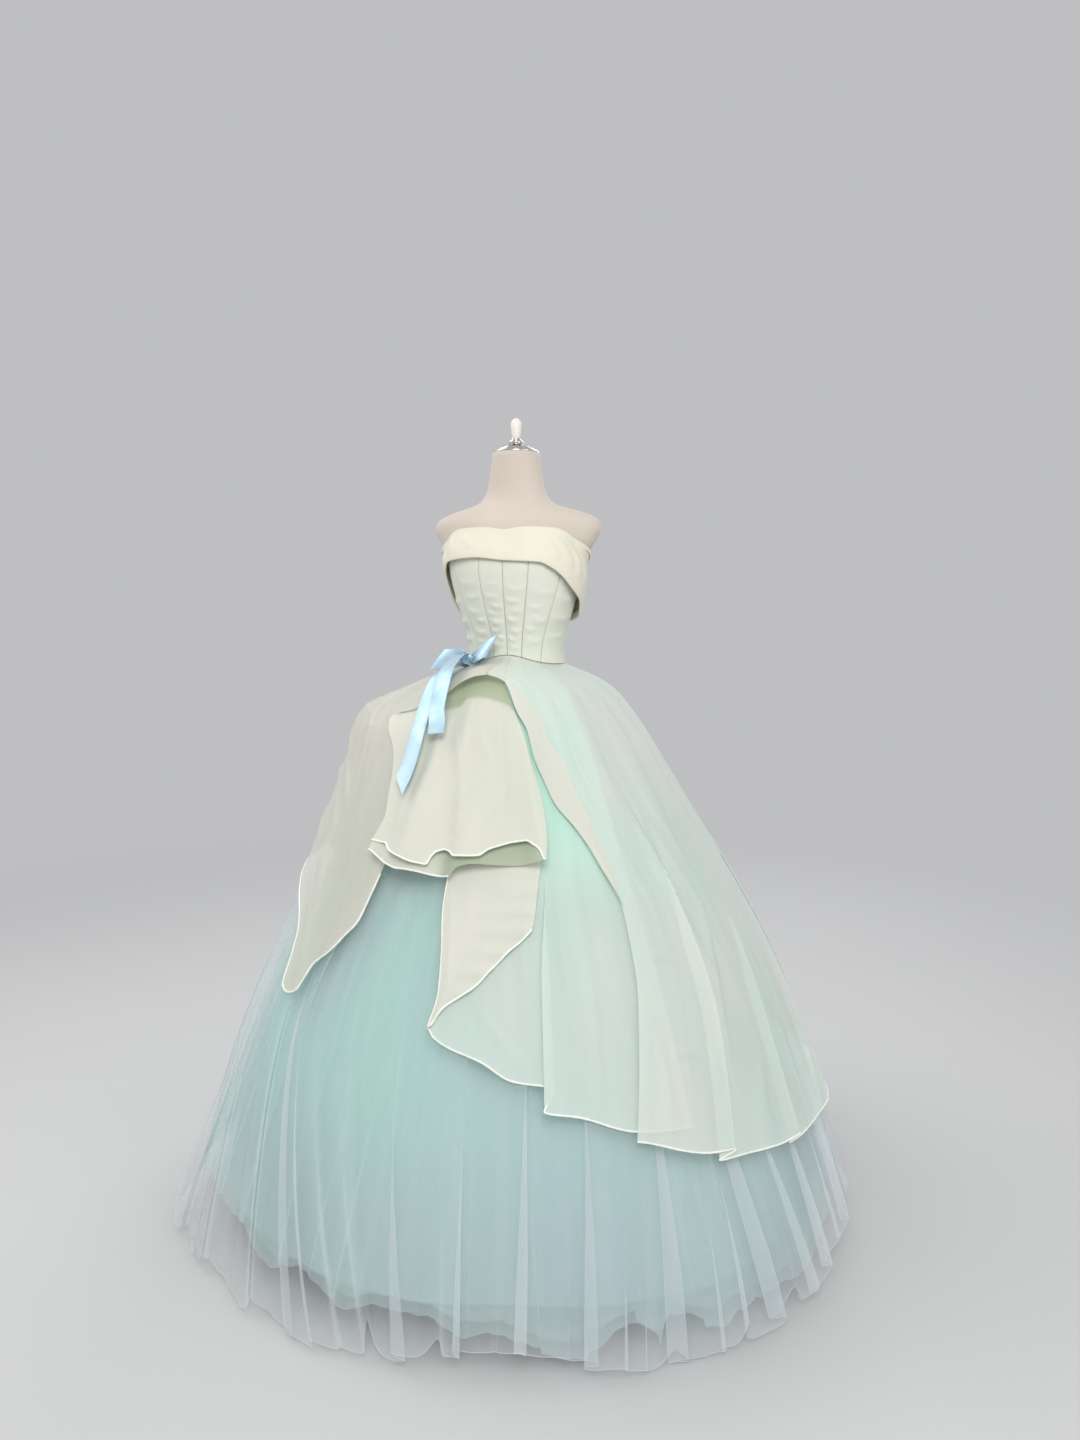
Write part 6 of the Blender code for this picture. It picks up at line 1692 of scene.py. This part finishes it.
def tailPoints(first, out, rows, startHalf, slant):
    # the tail's surface, the way it runs and the way it faces along its length
    count, columns = bowCut["tailGrid"]
    middles = [first] + [onSkirt(np.array(a), np.array(h), np.array(s)) for a, h, s, _ in rows]
    halves = [startHalf] + [0.5 * bowCut["ribbon"] * wide for _, _, _, wide in rows]
    normals = [out] + [skirtNormal(np.array(a), np.array(h)) for a, h, _, _ in rows]
    line, share = throughPoints(np.hstack([middles, np.array(halves)[:, None], normals]), count)
    middle, half, facing = line[:, :3], line[:, 3], unit(line[:, 4:])
    run = unit(np.gradient(middle, axis=0))
    wide = unit(np.cross(facing, run))
    across = np.linspace(-1.0, 1.0, columns)
    points = middle[:, None] + wide[:, None] * half[:, None, None] * across[None, :, None]
    lengthwise = slant * across[None, :] * ease(share, 0.55, 0.45)[:, None]
    points = points + run[:, None] * lengthwise[..., None]
    curl = bowCut["curl"] * (across ** 2)[None, :] * np.sin(share * 9.0 + 0.4)[:, None]
    pinch = bowCut["pinch"] * np.sin(across * 6.0)[None, :] * (1.0 - ease(share, 0.02, 0.3))[:, None]
    return points + facing[:, None] * (curl + pinch)[..., None], run, facing


def bow():
    cut = bowCut
    place, along, out = knotPlace()
    bowKnot(place, along, out)
    for name, node, side, tilt, lean, roll, slant, size, flat in cut["loops"]:
        points = loopPoints(place, along, out, side, tilt, lean, roll, slant, size)
        ribbonPiece(name, node, points)
    below = 0.5 * cut["knotSize"][2] + cut["tailBelow"]
    for name, node, table, sideways, startHalf, slant, flat in cut["tails"]:
        first = place + along * sideways + out * cut["tailOut"] - upward * below
        points, run, facing = tailPoints(first, out, cut[table], startHalf, slant)
        ribbonPiece(name, node, points)
        if table == "shortTail":
            frayedEnd(points[-1], run[-1], facing[-1])
    print("bow made")


def frayedEnd(edge, run, facing):
    # a few loose threads where the short tail was cut
    draw = np.random.default_rng(5)
    threads = []
    sideways = unit(np.cross(facing, run))
    t = downward(7)
    for i in range(bowCut["threads"]):
        start = edge[draw.integers(2, len(edge) - 2)]
        length = draw.uniform(0.004, 0.01)
        bend = draw.uniform(-0.5, 0.5, 2)
        line = start + length * (run * t + (sideways * bend[0] + facing * bend[1]) * t ** 2)
        threads.append(cordOver("tailThread" + str(i), line, bowCut["threadRadius"], 1))
    piece = joined("tailThreads", threads)
    settle(piece, finishes["ribbon"])


# Room

room = {
    "floor": colour(206, 206, 206),
    "floorWorn": 0.97,
    "floorFade": (1.2, 4.4),
    "sky": (0.52, 0.523, 0.535, 1.0),
    "aim": (0.0, 0.0, 0.85),
    # name, place, size, power, colour
    "lights": [
        ("keyLight", (0.8, -3.1, 3.2), 1.7, 74.0, (1.0, 0.995, 0.98)),
        ("topLight", (-2.2, 0.2, 3.1), 2.2, 36.0, (1.0, 0.995, 0.99)),
        ("rightFill", (3.3, -1.8, 2.0), 2.2, 19.0, (0.98, 0.99, 1.0)),
        ("backLight", (0.6, 3.4, 2.8), 2.2, 34.0, (0.98, 0.99, 1.0)),
    ],
}


def makeRoom():
    deselectAll()
    bpy.ops.mesh.primitive_circle_add(vertices=96, radius=30.0, fill_type="NGON", location=(0.0, 0.0, 0.0))
    floor = bpy.context.object
    floor.name = "floor"
    finish = Finish("floor paint", {"Roughness": 0.85, "Specular IOR Level": 0.2})
    tone = finish.noise(finish.objectPlace(), 1.2, 2.0)
    worn = tuple(room["floorWorn"] * value for value in room["floor"][:3]) + (1.0,)
    finish.feed("Base Color", finish.blend(tone, room["floor"], worn))
    far = finish.node("ShaderNodeVectorMath", {"operation": "LENGTH"}, {0: finish.objectPlace()}, 1)
    finish.feed("Alpha", 1.0 - far.eased(*room["floorFade"]))
    floor.data.materials.append(finish.material)
    world = bpy.data.worlds.new("studio")
    bpy.context.scene.world = world
    world.use_nodes = True
    world.node_tree.nodes["Background"].inputs[0].default_value = room["sky"]
    for name, place, size, power, tint in room["lights"]:
        lamp = bpy.data.lights.new(name, "AREA")
        lamp.energy = power
        lamp.size = size
        lamp.color = tint
        holder = linked(name, lamp)
        holder.location = place
        holder.rotation_euler = (Vector(room["aim"]) - Vector(place)).to_track_quat("-Z", "Y").to_euler()
    bpy.context.scene.view_settings.view_transform = "Standard"
    print("room lit")


cameraPlace = {"distance": 2.39, "angle": 14.0, "height": 1.303, "tilt": 84.0, "turn": 12.76, "lens": 36.07}


def makeCamera():
    camera = bpy.data.cameras.new("photoCamera")
    camera.sensor_fit = "HORIZONTAL"
    camera.sensor_width = 36.0
    camera.lens = cameraPlace["lens"]
    holder = linked("photoCamera", camera)
    turn = math.radians(cameraPlace["angle"])
    holder.location = (cameraPlace["distance"] * math.sin(turn), -cameraPlace["distance"] * math.cos(turn),
                       cameraPlace["height"])
    holder.rotation_euler = (math.radians(cameraPlace["tilt"]), 0.0, math.radians(cameraPlace["turn"]))
    bpy.context.scene.camera = holder


makeCamera()
makeRoom()
dressForm()
bodicePanels()
cuffPieces()
skirtLayers()
overskirt()
underPanel()
flouncePieces()
bow()
